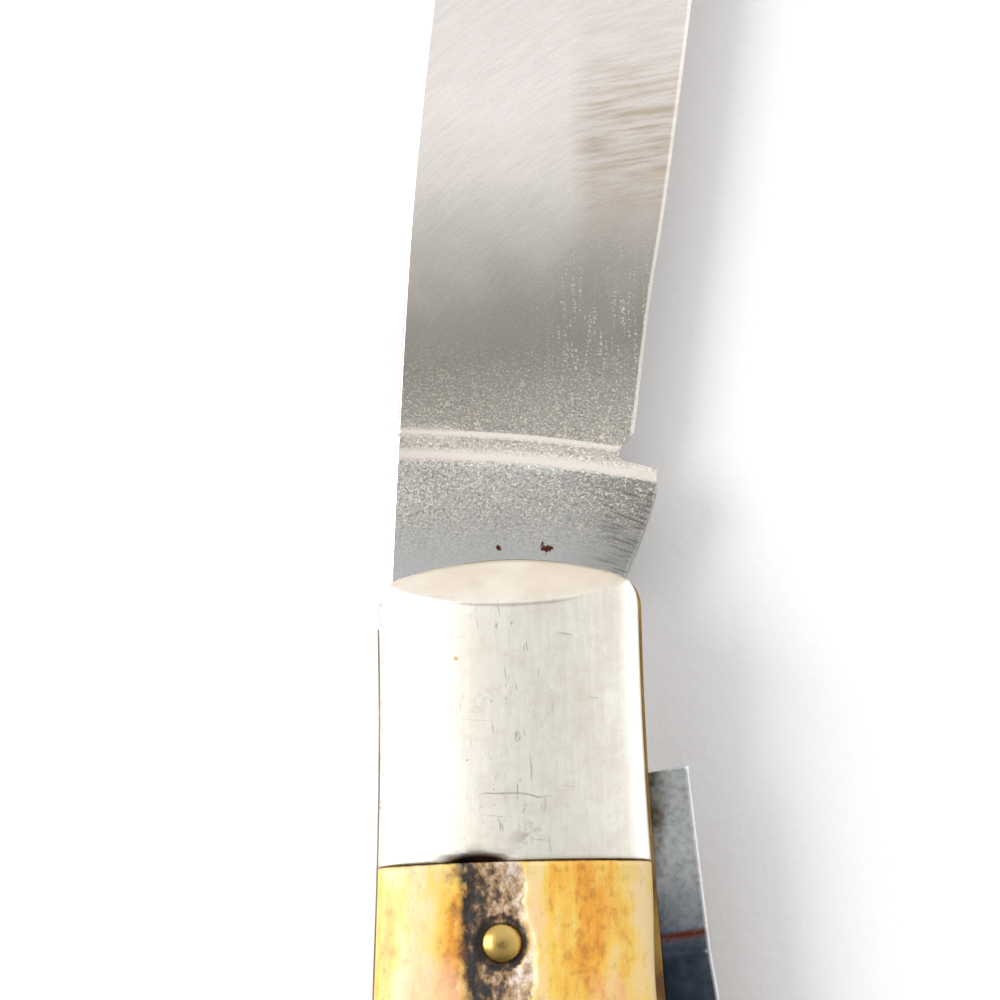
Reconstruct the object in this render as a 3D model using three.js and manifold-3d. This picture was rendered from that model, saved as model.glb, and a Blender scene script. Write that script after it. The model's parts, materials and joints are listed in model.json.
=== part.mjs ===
// A two-blade folding jack knife for whittling, lying on its side: clip main blade open, pen blade closed.
// Millimetres. +Z is up, +Y runs along the open main blade towards its tip, +X faces the cutting edge.
// The origin is on the axis of the blade pivot, in the plane that the lower bolster rests on.
import * as THREE from "three";
import { mergeVertices } from "three/addons/utils/BufferGeometryUtils.js";
import Module from "manifold-3d";

const wasm = await Module();
wasm.setup();

// ---- Driving dimensions -------------------------------------------------------------------------------

const CLOSED_LENGTH = 104.8;      // 4 1/8 in, front of the bolster to the butt
const FRONT_REACH = 10.1;         // pivot to the front of the bolster
const CENTRE_X = -1.25;           // the handle's centreline, which lies behind the pivot
const END_HALF_WIDTH = 8.85;      // half the handle's width at both ends
const SWELL = 1.7;                // how much wider each side is at mid-length
const SWELL_START = 5;            // where the swell begins, ahead of the pivot
const SWELL_SPAN = 96;            // length of the whole swell
const FRONT_ARC_RADIUS = 22.4;    // plan curve of the handle's front end
const FRONT_CORNER = 1.7;         // rounding of the two front corners
const BUTT_LENGTH = 8.7;          // length of the rounded butt
const BUTT_POWER = 2.2;           // superellipse power of the butt

const LINER = 0.55;               // thickness of each of the three liners
const CROWN = 3.2;                // height of bolsters and covers above their liner
const CROWN_FLAT = 3.4;           // half the width of the flat along the crown, at the ends
const CROWN_SIDE = 0.6;           // height at which their sides would meet the outline
const CROWN_ROUND = 5.9;          // width of the rounding from the flat to the sides
const MAIN_TANG = 2.3;
const PEN_TANG = 2.0;
const SIDE_GAP = 0.05;            // a blade's clearance to the liner on each side
const COVER_INSET = 0.22;         // bolsters and covers stand back from the liner's edge
const SPRING_PROUD = 0.12;        // the springs' backs stand out from the liner's edge
const BOLSTER_END_Y = -10.7;      // where the bolster meets the cover
const JOINT_GAP = 0.06;           // gap between the bolster and the cover
const BEVEL_RUN = 3.2;            // length of the bolster's crescent bevel, seen from above
const BEVEL_LIP = 0.35;           // the bevel's height above the liner at its front edge

const SWING = 171;                // degrees between a blade's open and closed stops
const TANG_FLAT = 5.4;            // pivot axis to the tang's spring flats
const SPRING_FACE = 5.45;         // pivot axis to the springs' inner faces
const SPRING_TIP_Y = 5.65;        // end of the springs, against the tang's shoulder
const SHOULDER_Y = 5.72;          // the tang's shoulder with the blade open
const MAIN_PLUNGE_Y = 19.0;       // where the main blade's grind begins
const PEN_PLUNGE_Y = 17.2;        // where the pen blade's grind begins
const EDGE_THICKNESS = 0.24;      // left at the cutting edge of the plain solid

const PIVOT_PIN_R = 1.6;
const PIN_R = 1.0;                // shanks of the brass pins
const PIN_FIT = 0.03;             // radial gap round a fixed pin
const PIVOT_FIT = 0.05;           // radial running gap in the tangs
const HEAD_R = 1.5;               // domed pin heads
const HEAD_RISE = 0.75;
const SEAT_GAP = 0.06;            // gap between a head and its seat

// Where the brass pins stand, and how high above the liner their heads are seated.
const COVER_PIN = { at: [-2.3, -16.1], seat: 2.3 };
const SPRING_CENTRE_PIN = { at: [-9.1, -46.5], seat: 1.9 };
const SPRING_END_PIN = { at: [-5.6, -87.4], seat: 2.3 };

// ---- Levels of the stack, from the resting plane up ---------------------------------------------------

const Z_MARK_LINER = CROWN;
const Z_MAIN_WELL = Z_MARK_LINER + LINER;
const Z_CENTRE_LINER = Z_MAIN_WELL + MAIN_TANG + 2 * SIDE_GAP;
const Z_PEN_WELL = Z_CENTRE_LINER + LINER;
const Z_PILE_LINER = Z_PEN_WELL + PEN_TANG + 2 * SIDE_GAP;
const Z_PILE_COVER = Z_PILE_LINER + LINER;
const THICKNESS = Z_PILE_COVER + CROWN;

const STEEL = new THREE.MeshStandardMaterial({ color: 0x9a9c9a, roughness: 0.32, metalness: 1 });
const SPRING_STEEL = new THREE.MeshStandardMaterial({ color: 0x77726b, roughness: 0.4, metalness: 1 });
const NICKEL_SILVER = new THREE.MeshStandardMaterial({ color: 0xd8d2c4, roughness: 0.28, metalness: 1 });
const BRASS = new THREE.MeshStandardMaterial({ color: 0xb98e35, roughness: 0.35, metalness: 1 });
const STAG = new THREE.MeshStandardMaterial({ color: 0xe0b25c, roughness: 0.45, metalness: 0 });

// ---- Small tools --------------------------------------------------------------------------------------

const v2 = (x, y) => new THREE.Vector2(x, y);
const toVectors = (pairs) => pairs.map(([x, y]) => v2(x, y));
const steps = (count) => Array.from({ length: count + 1 }, (_, i) => i / count);

function toSolid(geometry) {
  const bare = geometry.clone();
  bare.deleteAttribute("normal");
  bare.deleteAttribute("uv");
  const merged = mergeVertices(bare, 1e-5);
  return new wasm.Manifold(new wasm.Mesh({
    numProp: 3,
    vertProperties: merged.attributes.position.array,
    triVerts: new Uint32Array(merged.index.array),
  }));
}

function toGeometry(solid) {
  const mesh = solid.getMesh();
  const geometry = new THREE.BufferGeometry();
  geometry.setAttribute("position", new THREE.BufferAttribute(new Float32Array(mesh.vertProperties), 3));
  geometry.setIndex(new THREE.BufferAttribute(new Uint32Array(mesh.triVerts), 1));
  geometry.computeVertexNormals();
  return geometry;
}

function slab(points, z, height) {
  const shape = new THREE.Shape(points);
  return new THREE.ExtrudeGeometry(shape, { depth: height, bevelEnabled: false }).translate(0, 0, z);
}

function box(x0, x1, y0, y1, z0, z1) {
  const made = new THREE.BoxGeometry(x1 - x0, y1 - y0, z1 - z0);
  return made.translate((x0 + x1) / 2, (y0 + y1) / 2, (z0 + z1) / 2);
}

// A round bar or hole from z0 to z1.
function rod([x, y], radius, z0, z1) {
  const made = new THREE.CylinderGeometry(radius, radius, z1 - z0, 32).rotateX(Math.PI / 2);
  return made.translate(x, y, (z0 + z1) / 2);
}

function cut(geometry, ...tools) {
  return toGeometry(tools.reduce((left, tool) => left.subtract(toSolid(tool)), toSolid(geometry)));
}

function common(a, b) {
  return toGeometry(toSolid(a).intersect(toSolid(b)));
}

// Corners of a path rounded to the given radius, with three short sides for each.
function rounded(points, radii) {
  return points.flatMap((corner, i) => {
    const radius = radii[i];
    if (!radius) return [corner];
    const before = points.at(i - 1).clone().sub(corner).setLength(radius).add(corner);
    const after = points[(i + 1) % points.length].clone().sub(corner).setLength(radius).add(corner);
    return new THREE.QuadraticBezierCurve(before, corner, after).getPoints(4);
  });
}

// ---- Handle outline -----------------------------------------------------------------------------------

const BUTT_Y = FRONT_REACH - CLOSED_LENGTH;
const BUTT_START_Y = BUTT_Y + BUTT_LENGTH;

function halfWidth(y) {
  const along = Math.min(Math.max((SWELL_START - y) / SWELL_SPAN, 0), 1);
  return END_HALF_WIDTH + SWELL * (1 - Math.cos(2 * Math.PI * along)) / 2;
}

// One side of the handle, +1 front or -1 back, from the front corner to the start of the butt.
function sidePoints(side, inset, fromY, toY, count) {
  return steps(count).map((t) => {
    const y = fromY + (toY - fromY) * t;
    return v2(CENTRE_X + side * (halfWidth(y) - inset), y);
  });
}

function buttPoints(inset) {
  const a = halfWidth(BUTT_START_Y) - inset;
  const b = BUTT_LENGTH - inset;
  return steps(18).slice(1, -1).map((t) => {
    const c = Math.cos(Math.PI * t);
    const s = Math.sin(Math.PI * t);
    const x = Math.sign(c) * a * Math.abs(c) ** (2 / BUTT_POWER);
    return v2(CENTRE_X + x, BUTT_START_Y - b * s ** (2 / BUTT_POWER));
  });
}

// The front end's plan curve at distance dx from the centreline.
function frontY(dx, inset = 0) {
  const radius = FRONT_ARC_RADIUS - inset;
  return FRONT_REACH - FRONT_ARC_RADIUS + Math.sqrt(radius * radius - dx * dx);
}

function handleOutline(inset = 0) {
  const half = END_HALF_WIDTH - inset;
  const cornerY = frontY(half, inset);
  const front = steps(10).map((t) => {
    const dx = -(half - FRONT_CORNER) + 2 * (half - FRONT_CORNER) * t;
    return v2(CENTRE_X + dx, frontY(dx, inset));
  });
  const corner = (side, arcEnd) => {
    const sideEnd = v2(CENTRE_X + side * half, cornerY - FRONT_CORNER);
    const curve = new THREE.QuadraticBezierCurve(arcEnd, v2(CENTRE_X + side * half, cornerY), sideEnd);
    return curve.getPoints(5).slice(1, -1);
  };
  const sideStart = cornerY - FRONT_CORNER;
  return [
    ...front,
    ...corner(1, front.at(-1)),
    ...sidePoints(1, inset, sideStart, BUTT_START_Y, 16),
    ...buttPoints(inset),
    ...sidePoints(-1, inset, BUTT_START_Y, sideStart, 16),
    ...corner(-1, front[0]).reverse(),
  ].reverse();
}

// ---- Liners -------------------------------------------------------------------------------------------

function liner(z, pins) {
  const bores = pins.map((pin) => rod(pin.at, PIN_R + PIN_FIT, z - 1, z + LINER + 1));
  const pivotBore = rod([0, 0], PIVOT_PIN_R + PIN_FIT, z - 1, z + LINER + 1);
  return cut(slab(handleOutline(), z, LINER), pivotBore, ...bores);
}

// ---- Bolsters and covers: one crowned bar, parted behind the pivot --------------------------------------

// Height of the crown at distance dx from the centreline, at the ends of the handle.
function crownHeight(dx) {
  const past = Math.max(Math.abs(dx) - CROWN_FLAT, 0) / CROWN_ROUND;
  return CROWN_SIDE + (CROWN - CROWN_SIDE) * Math.sqrt(Math.max(1 - past * past, 0));
}

// The crown's cross-section extruded along the handle, and widened with the handle's swell.
function crownedBar() {
  const reach = CROWN_FLAT + CROWN_ROUND;
  const side = steps(7).map((t) => CROWN_FLAT + CROWN_ROUND * Math.sin(t * Math.PI / 2));
  const across = [...side.map((dx) => -dx).reverse(), ...side];
  const crown = across.map((dx) => v2(dx, crownHeight(dx)));
  const shape = new THREE.Shape([v2(-reach, 0), ...crown, v2(reach, 0)].reverse());
  const depth = CLOSED_LENGTH + 4;
  const bar = new THREE.ExtrudeGeometry(shape, { depth, steps: 24, bevelEnabled: false });
  bar.rotateX(Math.PI / 2).translate(0, FRONT_REACH + 2, 0);
  const position = bar.attributes.position;
  for (let i = 0; i < position.count; i += 1) {
    const widening = halfWidth(position.getY(i)) / END_HALF_WIDTH;
    position.setX(i, CENTRE_X + position.getX(i) * widening);
  }
  return bar;
}

const crownedPlan = common(slab(handleOutline(COVER_INSET), 0, CROWN), crownedBar());

// The slanting plane that cuts the crescent at the bolster's front end.
function crescentCutter() {
  const rise = CROWN - BEVEL_LIP;
  const profile = [
    v2(FRONT_REACH - COVER_INSET, BEVEL_LIP),
    v2(FRONT_REACH - COVER_INSET + BEVEL_RUN, BEVEL_LIP - rise),
    v2(FRONT_REACH + 8, CROWN * 2),
    v2(FRONT_REACH - COVER_INSET - 2 * BEVEL_RUN, BEVEL_LIP + 2 * rise),
  ];
  const made = new THREE.ExtrudeGeometry(new THREE.Shape(profile), { depth: 40, bevelEnabled: false });
  made.applyMatrix4(new THREE.Matrix4().makeBasis(
    new THREE.Vector3(0, 1, 0), new THREE.Vector3(0, 0, 1), new THREE.Vector3(1, 0, 0)));
  return made.translate(-20, 0, 0);
}

function bolster() {
  const front = box(-20, 20, BOLSTER_END_Y + JOINT_GAP / 2, FRONT_REACH + 1, -1, CROWN + 1);
  const pinBore = rod([0, 0], PIVOT_PIN_R + PIN_FIT, -1, CROWN + 1);
  return cut(common(crownedPlan, front), crescentCutter(), pinBore);
}

function cover() {
  const rear = box(-20, 20, BUTT_Y - 1, BOLSTER_END_Y - JOINT_GAP / 2, -1, CROWN + 1);
  const pins = [COVER_PIN, SPRING_CENTRE_PIN, SPRING_END_PIN];
  const bores = pins.map((pin) => rod(pin.at, PIN_R + PIN_FIT, -1, CROWN + 1));
  const seats = pins.map((pin) => rod(pin.at, HEAD_R + SEAT_GAP, pin.seat, CROWN + 1));
  return cut(common(crownedPlan, rear), ...bores, ...seats);
}

// ---- Pins ---------------------------------------------------------------------------------------------

function domedHead(base, direction) {
  const rise = HEAD_RISE - SEAT_GAP;
  return steps(5).map((t) => {
    const angle = t * Math.PI / 2;
    return v2(HEAD_R * Math.cos(angle), base + direction * (SEAT_GAP + rise * Math.sin(angle)));
  });
}

// A round pin turned about its own axis, from a profile that starts and ends on the axis.
function turned(profile, [x, y]) {
  return new THREE.LatheGeometry(profile, 24).rotateX(Math.PI / 2).translate(x, y, 0);
}

// A pin through the whole handle with a spun head on each cover.
function throughPin({ at, seat }) {
  const low = CROWN - seat;
  const high = Z_PILE_COVER + seat;
  const lowHead = domedHead(low, -1).reverse();
  const highHead = domedHead(high, 1);
  const shank = [v2(PIN_R, low - SEAT_GAP), v2(PIN_R, high + SEAT_GAP)];
  lowHead[0].x = 0;
  highHead.at(-1).x = 0;
  return turned([...lowHead, ...shank, ...highHead], at);
}

// A pin that holds the front of one cover to its own liner, modelled with its head up from z = 0.
function coverPin({ at, seat }) {
  const head = domedHead(LINER + seat, 1);
  head.at(-1).x = 0;
  const shank = [v2(0, 0), v2(PIN_R, 0), v2(PIN_R, LINER + seat + SEAT_GAP)];
  return turned([...shank, ...head], at);
}

// ---- Back springs -------------------------------------------------------------------------------------

// Inner edge from the tang to the butt: the tang face, the seat for the kick, a slim waist, the boss round
// the centre pin, and the tail that closes the butt.
const SPRING_INNER = [
  [-SPRING_FACE, SPRING_TIP_Y], [-SPRING_FACE, -8], [-5.95, -12], [-6.48, -14.4], [-6.48, -19.6],
  [-7.6, -25], [-7.6, -35], [-6.5, -43], [-6.5, -50], [-7.4, -58], [-7.2, -70], [-5.6, -79],
  [-2.2, -85.6], [1.6, -89.8],
];

function springOutline() {
  const proud = -SPRING_PROUD;
  const flats = toVectors(SPRING_INNER.slice(0, 4));
  const inner = new THREE.SplineCurve(toVectors(SPRING_INNER.slice(4))).getPoints(30);
  const tail = buttPoints(proud).filter((p) => p.x < 4.5);
  const back = sidePoints(-1, proud, BUTT_START_Y, SPRING_TIP_Y, 18);
  return [...flats, ...inner, ...tail, ...back];
}

function backSpring(z, height) {
  const pins = [SPRING_CENTRE_PIN, SPRING_END_PIN];
  const bores = pins.map((pin) => rod(pin.at, PIN_R + PIN_FIT, z - 1, z + height + 1));
  return cut(slab(springOutline(), z, height), ...bores);
}

// ---- Blades, drawn open: spine on the left, cutting edge on the right -----------------------------------

const rad = THREE.MathUtils.degToRad;

// The end of a tang: the open flat, the half-stop flat and the closed flat, each tangent to its spring.
function tangEnd() {
  const turn = (angle, along) => {
    const normal = v2(Math.cos(rad(angle)), Math.sin(rad(angle)));
    return normal.clone().multiplyScalar(TANG_FLAT).add(v2(-normal.y, normal.x).multiplyScalar(along));
  };
  const closedAngle = SWING - 180;
  const halfAngle = closedAngle / 2 - 90;
  const openToHalf = v2(-TANG_FLAT, turn(halfAngle, -TANG_FLAT).y);
  const halfToClosed = turn(closedAngle, -TANG_FLAT + 0.4);
  return { openToHalf, halfToClosed, closedTop: turn(closedAngle, TANG_FLAT - 1.0) };
}

// The whole outline of a blade, counter-clockwise, from the shoulder round the tang to the edge and the tip.
function bladeOutline({ shoulderX, front, edge, spine }) {
  const { openToHalf, halfToClosed, closedTop } = tangEnd();
  const tang = rounded(
    [v2(shoulderX, SHOULDER_Y), v2(-TANG_FLAT, SHOULDER_Y), openToHalf, halfToClosed, closedTop],
    [0, 0, 0.9, 0.9, 0]);
  const smooth = (run, count) => new THREE.SplineCurve(toVectors(run)).getPoints(count);
  const spineCurve = spine.flatMap((run) => smooth(run, 12));
  const points = [...tang, ...toVectors(front), ...smooth(edge, 28), ...spineCurve.slice(1)];
  return points.filter((p, i) => i === 0 || p.distanceTo(points[i - 1]) > 0.02);
}

const MAIN = {
  shoulderX: -9.6,
  front: [[6.2, 6.6], [6.66, 9.4], [7.68, 11.75], [8.56, 14.1], [8.86, 15.15], [8.98, 16.7], [8.2, 17.0],
    [6.68, 17.4], [6.45, 17.8], [6.56, 18.3], [7.1, 18.9]],
  edge: [[7.48, 19.4], [8.83, 28.6], [10.1, 35.6], [12.3, 49.7], [13.6, 59], [14.0, 67], [13.2, 76],
    [9.8, 86.4]],
  spine: [
    [[9.8, 86.4], [6.9, 79], [2.2, 69.8], [-3.9, 60.5]],
    [[-3.9, 60.5], [-5.56, 50], [-7.31, 35.9], [-8.62, 19.8], [-9.6, 5.72]],
  ],
};

const PEN = {
  shoulderX: -9.68,
  front: [[6.1, 6.6], [6.9, 9.0], [7.45, 10.3], [7.5, 10.95], [7.2, 11.4], [5.6, 13.2], [4.1, 16.0],
    [3.0, 16.6], [2.9, 17.2], [3.3, 17.6]],
  edge: [[3.5, 17.9], [4.3, 28], [5.1, 40], [5.3, 50], [4.6, 58], [2.2, 64.6]],
  spine: [
    [[2.2, 64.6], [-2.2, 60], [-5.6, 52.5], [-7.5, 42], [-8.4, 30], [-8.82, 21.6], [-8.92, 17.4]],
    [[-8.92, 17.4], [-9.68, 5.72]],
  ],
};

// A wedge over one face of a blade, which leaves the full thickness at the spine and EDGE_THICKNESS at the
// cutting edge.
function grindWedge(tang, plungeY, lean, spineX, width) {
  const clear = 3;
  const profile = [
    v2(0, tang / 2), v2(width, EDGE_THICKNESS / 2), v2(width * 2, EDGE_THICKNESS / 2 - tang / 2),
    v2(width * 2, tang / 2 + clear), v2(0, tang / 2 + clear),
  ];
  const made = new THREE.ExtrudeGeometry(new THREE.Shape(profile), { depth: 80, bevelEnabled: false });
  made.rotateX(Math.PI / 2).scale(1, -1, 1);
  const flipped = toGeometry(toSolid(flip(made)));
  return flipped.rotateZ(-rad(lean)).translate(spineX, plungeY, 0);
}

// Turns a mirrored geometry's faces outwards again.
function flip(geometry) {
  const made = geometry.index ? geometry.toNonIndexed() : geometry.clone();
  const position = made.attributes.position;
  for (let i = 0; i < position.count; i += 3) {
    const [x, y, z] = [position.getX(i), position.getY(i), position.getZ(i)];
    position.setXYZ(i, position.getX(i + 1), position.getY(i + 1), position.getZ(i + 1));
    position.setXYZ(i + 1, x, y, z);
  }
  return made;
}

// A thumbnail groove: the part of a wide thin disc that dips into the blade's face near the spine.
function nailNick([x, y], lean, face, side) {
  const radius = 26;
  const depth = 0.45;
  const disc = new THREE.CylinderGeometry(radius, radius, 1.3, 96).rotateZ(Math.PI / 2);
  return disc.translate(0, 0, side * (radius - depth)).rotateZ(-rad(lean)).translate(x, y, face);
}

function blade(outline, tang, wedge, nick) {
  const upper = grindWedge(tang, ...wedge);
  const lower = flip(upper.clone().scale(1, 1, -1));
  const pivotBore = rod([0, 0], PIVOT_PIN_R + PIVOT_FIT, -tang, tang);
  return cut(slab(bladeOutline(outline), -tang / 2, tang), upper, lower, pivotBore, nick);
}

// ---- Assembly -----------------------------------------------------------------------------------------

const knife = new THREE.Group();

function add(name, geometry, material, { z = 0, parent = knife, mirrored = false } = {}) {
  const mesh = new THREE.Mesh(geometry, material);
  mesh.name = name;
  mesh.position.z = z;
  if (mirrored) mesh.scale.z = -1;
  parent.add(mesh);
}

const allPins = [COVER_PIN, SPRING_CENTRE_PIN, SPRING_END_PIN];
add("mark_liner", liner(Z_MARK_LINER, allPins), BRASS);
add("center_liner", liner(Z_CENTRE_LINER, allPins.slice(1)), BRASS);
add("pile_liner", liner(Z_PILE_LINER, allPins), BRASS);

add("mark_bolster", bolster(), NICKEL_SILVER, { z: CROWN, mirrored: true });
add("pile_bolster", bolster(), NICKEL_SILVER, { z: Z_PILE_COVER });
add("mark_cover", cover(), STAG, { z: CROWN, mirrored: true });
add("pile_cover", cover(), STAG, { z: Z_PILE_COVER });

add("main_spring", backSpring(Z_MAIN_WELL, MAIN_TANG + 2 * SIDE_GAP), SPRING_STEEL);
add("pen_spring", backSpring(Z_PEN_WELL, PEN_TANG + 2 * SIDE_GAP), SPRING_STEEL);

add("pivot_pin", rod([0, 0], PIVOT_PIN_R, 0, THICKNESS), NICKEL_SILVER);
add("spring_center_pin", throughPin(SPRING_CENTRE_PIN), BRASS);
add("spring_end_pin", throughPin(SPRING_END_PIN), BRASS);
add("mark_cover_pin", coverPin(COVER_PIN), BRASS, { z: Z_MARK_LINER + LINER, mirrored: true });
add("pile_cover_pin", coverPin(COVER_PIN), BRASS, { z: Z_PILE_LINER });

const mainNick = nailNick([-3.6, 46], 7, -MAIN_TANG / 2, -1);
const mainBlade = blade(MAIN, MAIN_TANG, [MAIN_PLUNGE_Y, 6.2, -8.6, 17.2], mainNick);
add("main_blade", mainBlade, STEEL, { z: Z_MAIN_WELL + SIDE_GAP + MAIN_TANG / 2 });

// The pen blade is drawn open like the main blade, and turned shut about the pivot.
const closed = new THREE.Group();
closed.rotation.z = -rad(SWING);
knife.add(closed);
const penNick = nailNick([-5.6, 36], 4, PEN_TANG / 2, 1);
const penBlade = blade(PEN, PEN_TANG, [PEN_PLUNGE_Y, 3.2, -8.9, 13.2], penNick);
add("pen_blade", penBlade, STEEL, { z: Z_PEN_WELL + SIDE_GAP + PEN_TANG / 2, parent: closed });

export default knife;
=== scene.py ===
import json
import math
from collections import namedtuple

import bpy
import numpy as np
from mathutils import Matrix, Vector, noise
from mathutils.geometry import delaunay_2d_cdt


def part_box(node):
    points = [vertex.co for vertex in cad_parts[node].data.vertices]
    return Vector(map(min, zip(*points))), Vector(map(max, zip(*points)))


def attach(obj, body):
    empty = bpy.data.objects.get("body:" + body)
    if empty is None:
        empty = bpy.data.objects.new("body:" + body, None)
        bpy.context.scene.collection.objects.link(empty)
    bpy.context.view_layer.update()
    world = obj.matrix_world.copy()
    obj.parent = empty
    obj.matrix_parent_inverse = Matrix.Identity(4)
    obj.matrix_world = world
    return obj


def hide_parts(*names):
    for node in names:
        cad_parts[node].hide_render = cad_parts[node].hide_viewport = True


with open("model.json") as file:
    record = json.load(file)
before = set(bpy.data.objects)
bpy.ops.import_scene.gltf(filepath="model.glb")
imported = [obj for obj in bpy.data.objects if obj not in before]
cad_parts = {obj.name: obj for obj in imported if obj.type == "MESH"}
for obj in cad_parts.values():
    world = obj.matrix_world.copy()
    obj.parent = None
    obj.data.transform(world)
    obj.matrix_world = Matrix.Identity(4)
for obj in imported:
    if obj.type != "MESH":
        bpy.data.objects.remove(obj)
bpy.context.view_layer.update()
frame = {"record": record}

MM = 0.001

# The knife lies on its mark side with the blades' pivot at x = y = 0. The open main blade points along +Y,
# the handle lies along -Y, the blades fold in from +X and the springs' backs face -X. Sizes are in mm.

# ---- Sizes shared with the frame's solids ----

CENTRE_X = -1.25              # middle of the handle's width
END_HALF_WIDTH = 8.85         # half-width at both ends
SWELL = 1.7                   # how much wider each side is at the middle
SWELL_START = 5.0
SWELL_SPAN = 96.0
FRONT_ARC_RADIUS = 22.4
FRONT_CORNER = 1.7
BUTT_LENGTH = 8.7
BUTT_POWER = 2.2              # 2 would make the butt an ellipse
COVER_INSET = 0.22            # how far the covers' front edges stand back from the liners
FLUSH = 0.07
SPRING_PROUD = 0.12
BOLSTER_END_Y = -10.7
JOINT_GAP = 0.07
SWING = math.radians(171)
TANG_FLAT = 5.4
SPRING_FACE = 5.45
SPRING_TIP_Y = 5.65
SHOULDER_Y = 5.72
COVER_PIN = (-2.3, -16.1)
SPRING_CENTRE_PIN = (-9.1, -46.5)
SPRING_END_PIN = (-5.6, -87.4)
PIVOT = (0.0, 0.0)
PIVOT_PIN_R = 1.6
PIN_R = 1.0
HEAD_R = 1.5
MAIN_TANG = 2.3

CROWN_SIDE = 0.75             # height above the liner where the crown's ellipse would meet the sides
CROWN_SHARE = 0.985           # how far round that ellipse the outline cuts it
BEVEL_RUN = 3.25              # length of the crescent bevel
BEVEL_LIP = 0.32              # its height above the liner at the front


def span(node):
    """Lowest and highest z of a node of the frame."""
    low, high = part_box(node)
    return low[2] / MM, high[2] / MM


BUTT_Y, FRONT_REACH = (corner[1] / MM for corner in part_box("pile_liner"))
BUTT_START_Y = BUTT_Y + BUTT_LENGTH
CROWN = span("pile_bolster")[1] - span("pile_bolster")[0]
PEN_TANG = span("pen_blade")[1] - span("pen_blade")[0]


# ---- Outlines ----


def half_width(y):
    """Half the handle's width at a place along it."""
    along = np.clip((SWELL_START - np.asarray(y, float)) / SWELL_SPAN, 0, 1)
    return END_HALF_WIDTH + SWELL * (1 - np.cos(2 * math.pi * along)) / 2


def curve(points, count):
    """A smooth Catmull-Rom curve through the points, with count steps between neighbours."""
    p = np.array(points, float)
    before = np.vstack([2 * p[0] - p[1], p[:-1]])
    after = np.vstack([p[1:], 2 * p[-1] - p[-2]])
    line = []
    for i in range(len(p) - 1):
        leaving = (p[i + 1] - before[i]) / 2
        arriving = (after[i + 1] - p[i]) / 2
        for t in np.linspace(0, 1, count, endpoint=False):
            start = (2 * t**3 - 3 * t**2 + 1) * p[i] + (t**3 - 2 * t**2 + t) * leaving
            end = (-2 * t**3 + 3 * t**2) * p[i + 1] + (t**3 - t**2) * arriving
            line.append(start + end)
    line.append(p[-1])
    return [tuple(q) for q in line]


def bend(start, corner, end, count):
    """A quadratic curve that leaves start and reaches end in the direction of the corner."""
    a, b, c = (np.array(p, float) for p in (start, corner, end))
    shares = np.linspace(0, 1, count + 1)
    return [tuple((1 - t) ** 2 * a + 2 * t * (1 - t) * b + t * t * c) for t in shares]


def fillet(before, corner, after, radius, count=8):
    """The corner of a polyline, rounded."""
    a, b, c = (np.array(p, float) for p in (before, corner, after))
    start = b + (a - b) / np.linalg.norm(a - b) * radius
    end = b + (c - b) / np.linalg.norm(c - b) * radius
    return bend(start, b, end, count)


def circle(centre, radius, count=48):
    angles = np.linspace(0, 2 * math.pi, count, endpoint=False)
    return [(centre[0] + radius * math.cos(a), centre[1] + radius * math.sin(a)) for a in angles]


def front_y(dx, inset):
    """The handle's front end, an arc, at a distance from its middle."""
    radius = FRONT_ARC_RADIUS - inset
    return FRONT_REACH - FRONT_ARC_RADIUS + math.sqrt(radius * radius - dx * dx)


def side_points(side, inset, from_y, to_y, count=90):
    ys = np.linspace(from_y, to_y, count + 1)
    return [(CENTRE_X + side * (half_width(y) - inset), y) for y in ys]


def butt_points(inset, count=48):
    """The round rear end, from its right side to its left."""
    a = half_width(BUTT_START_Y) - inset
    b = BUTT_LENGTH - inset
    points = []
    for t in np.linspace(0, math.pi, count + 1)[1:-1]:
        c, s = math.cos(t), math.sin(t)
        x = math.copysign(a * abs(c) ** (2 / BUTT_POWER), c)
        points.append((CENTRE_X + x, BUTT_START_Y - b * s ** (2 / BUTT_POWER)))
    return points


def handle_outline(inset):
    """The handle's outline drawn in by the inset, counter-clockwise."""
    half = END_HALF_WIDTH - inset
    corner_y = front_y(half, inset)
    start_y = corner_y - FRONT_CORNER
    reach = half - FRONT_CORNER
    front = [(CENTRE_X + dx, front_y(dx, inset)) for dx in np.linspace(-reach, reach, 41)]

    def corner(side, arc_end):
        x = CENTRE_X + side * half
        return bend(arc_end, (x, corner_y), (x, start_y), 12)[1:-1]

    clockwise = [
        *front,
        *corner(1, front[-1]),
        *side_points(1, inset, start_y, BUTT_START_Y),
        *butt_points(inset),
        *side_points(-1, inset, BUTT_START_Y, start_y),
        *corner(-1, front[0])[::-1],
    ]
    return clockwise[::-1]


def clipped(outline, y_cut, keep_front):
    """The part of an outline in front of y_cut, or behind it."""
    sign = 1 if keep_front else -1
    points = []
    for a, b in zip(outline, outline[1:] + outline[:1]):
        in_a, in_b = sign * (a[1] - y_cut) >= 0, sign * (b[1] - y_cut) >= 0
        if in_a:
            points.append(a)
        if in_a != in_b:
            t = (y_cut - a[1]) / (b[1] - a[1])
            points.append((a[0] + t * (b[0] - a[0]), y_cut))
    return points


def offset_line(line, away):
    """A line moved to its left by a distance."""
    p = np.array(line)
    along = np.gradient(p, axis=0)
    along /= np.hypot(along[:, 0], along[:, 1])[:, None]
    return [tuple(q) for q in p + np.stack([-along[:, 1], along[:, 0]], 1) * away]


# ---- Meshing ----

EDGE_STEP = 0.34              # longest segment of an outline
ROW_PITCH = 0.87              # spacing of a triangular grid's rows, as a share of its step
GRID_CLEARANCE = 0.45         # how far grid points stay from lines, as a share of the step
RING_CLEARANCE = (0.9, 1.2)   # how far a ring stays from other lines, and the grid from the last ring
SHARP_ANGLE = 34


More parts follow.
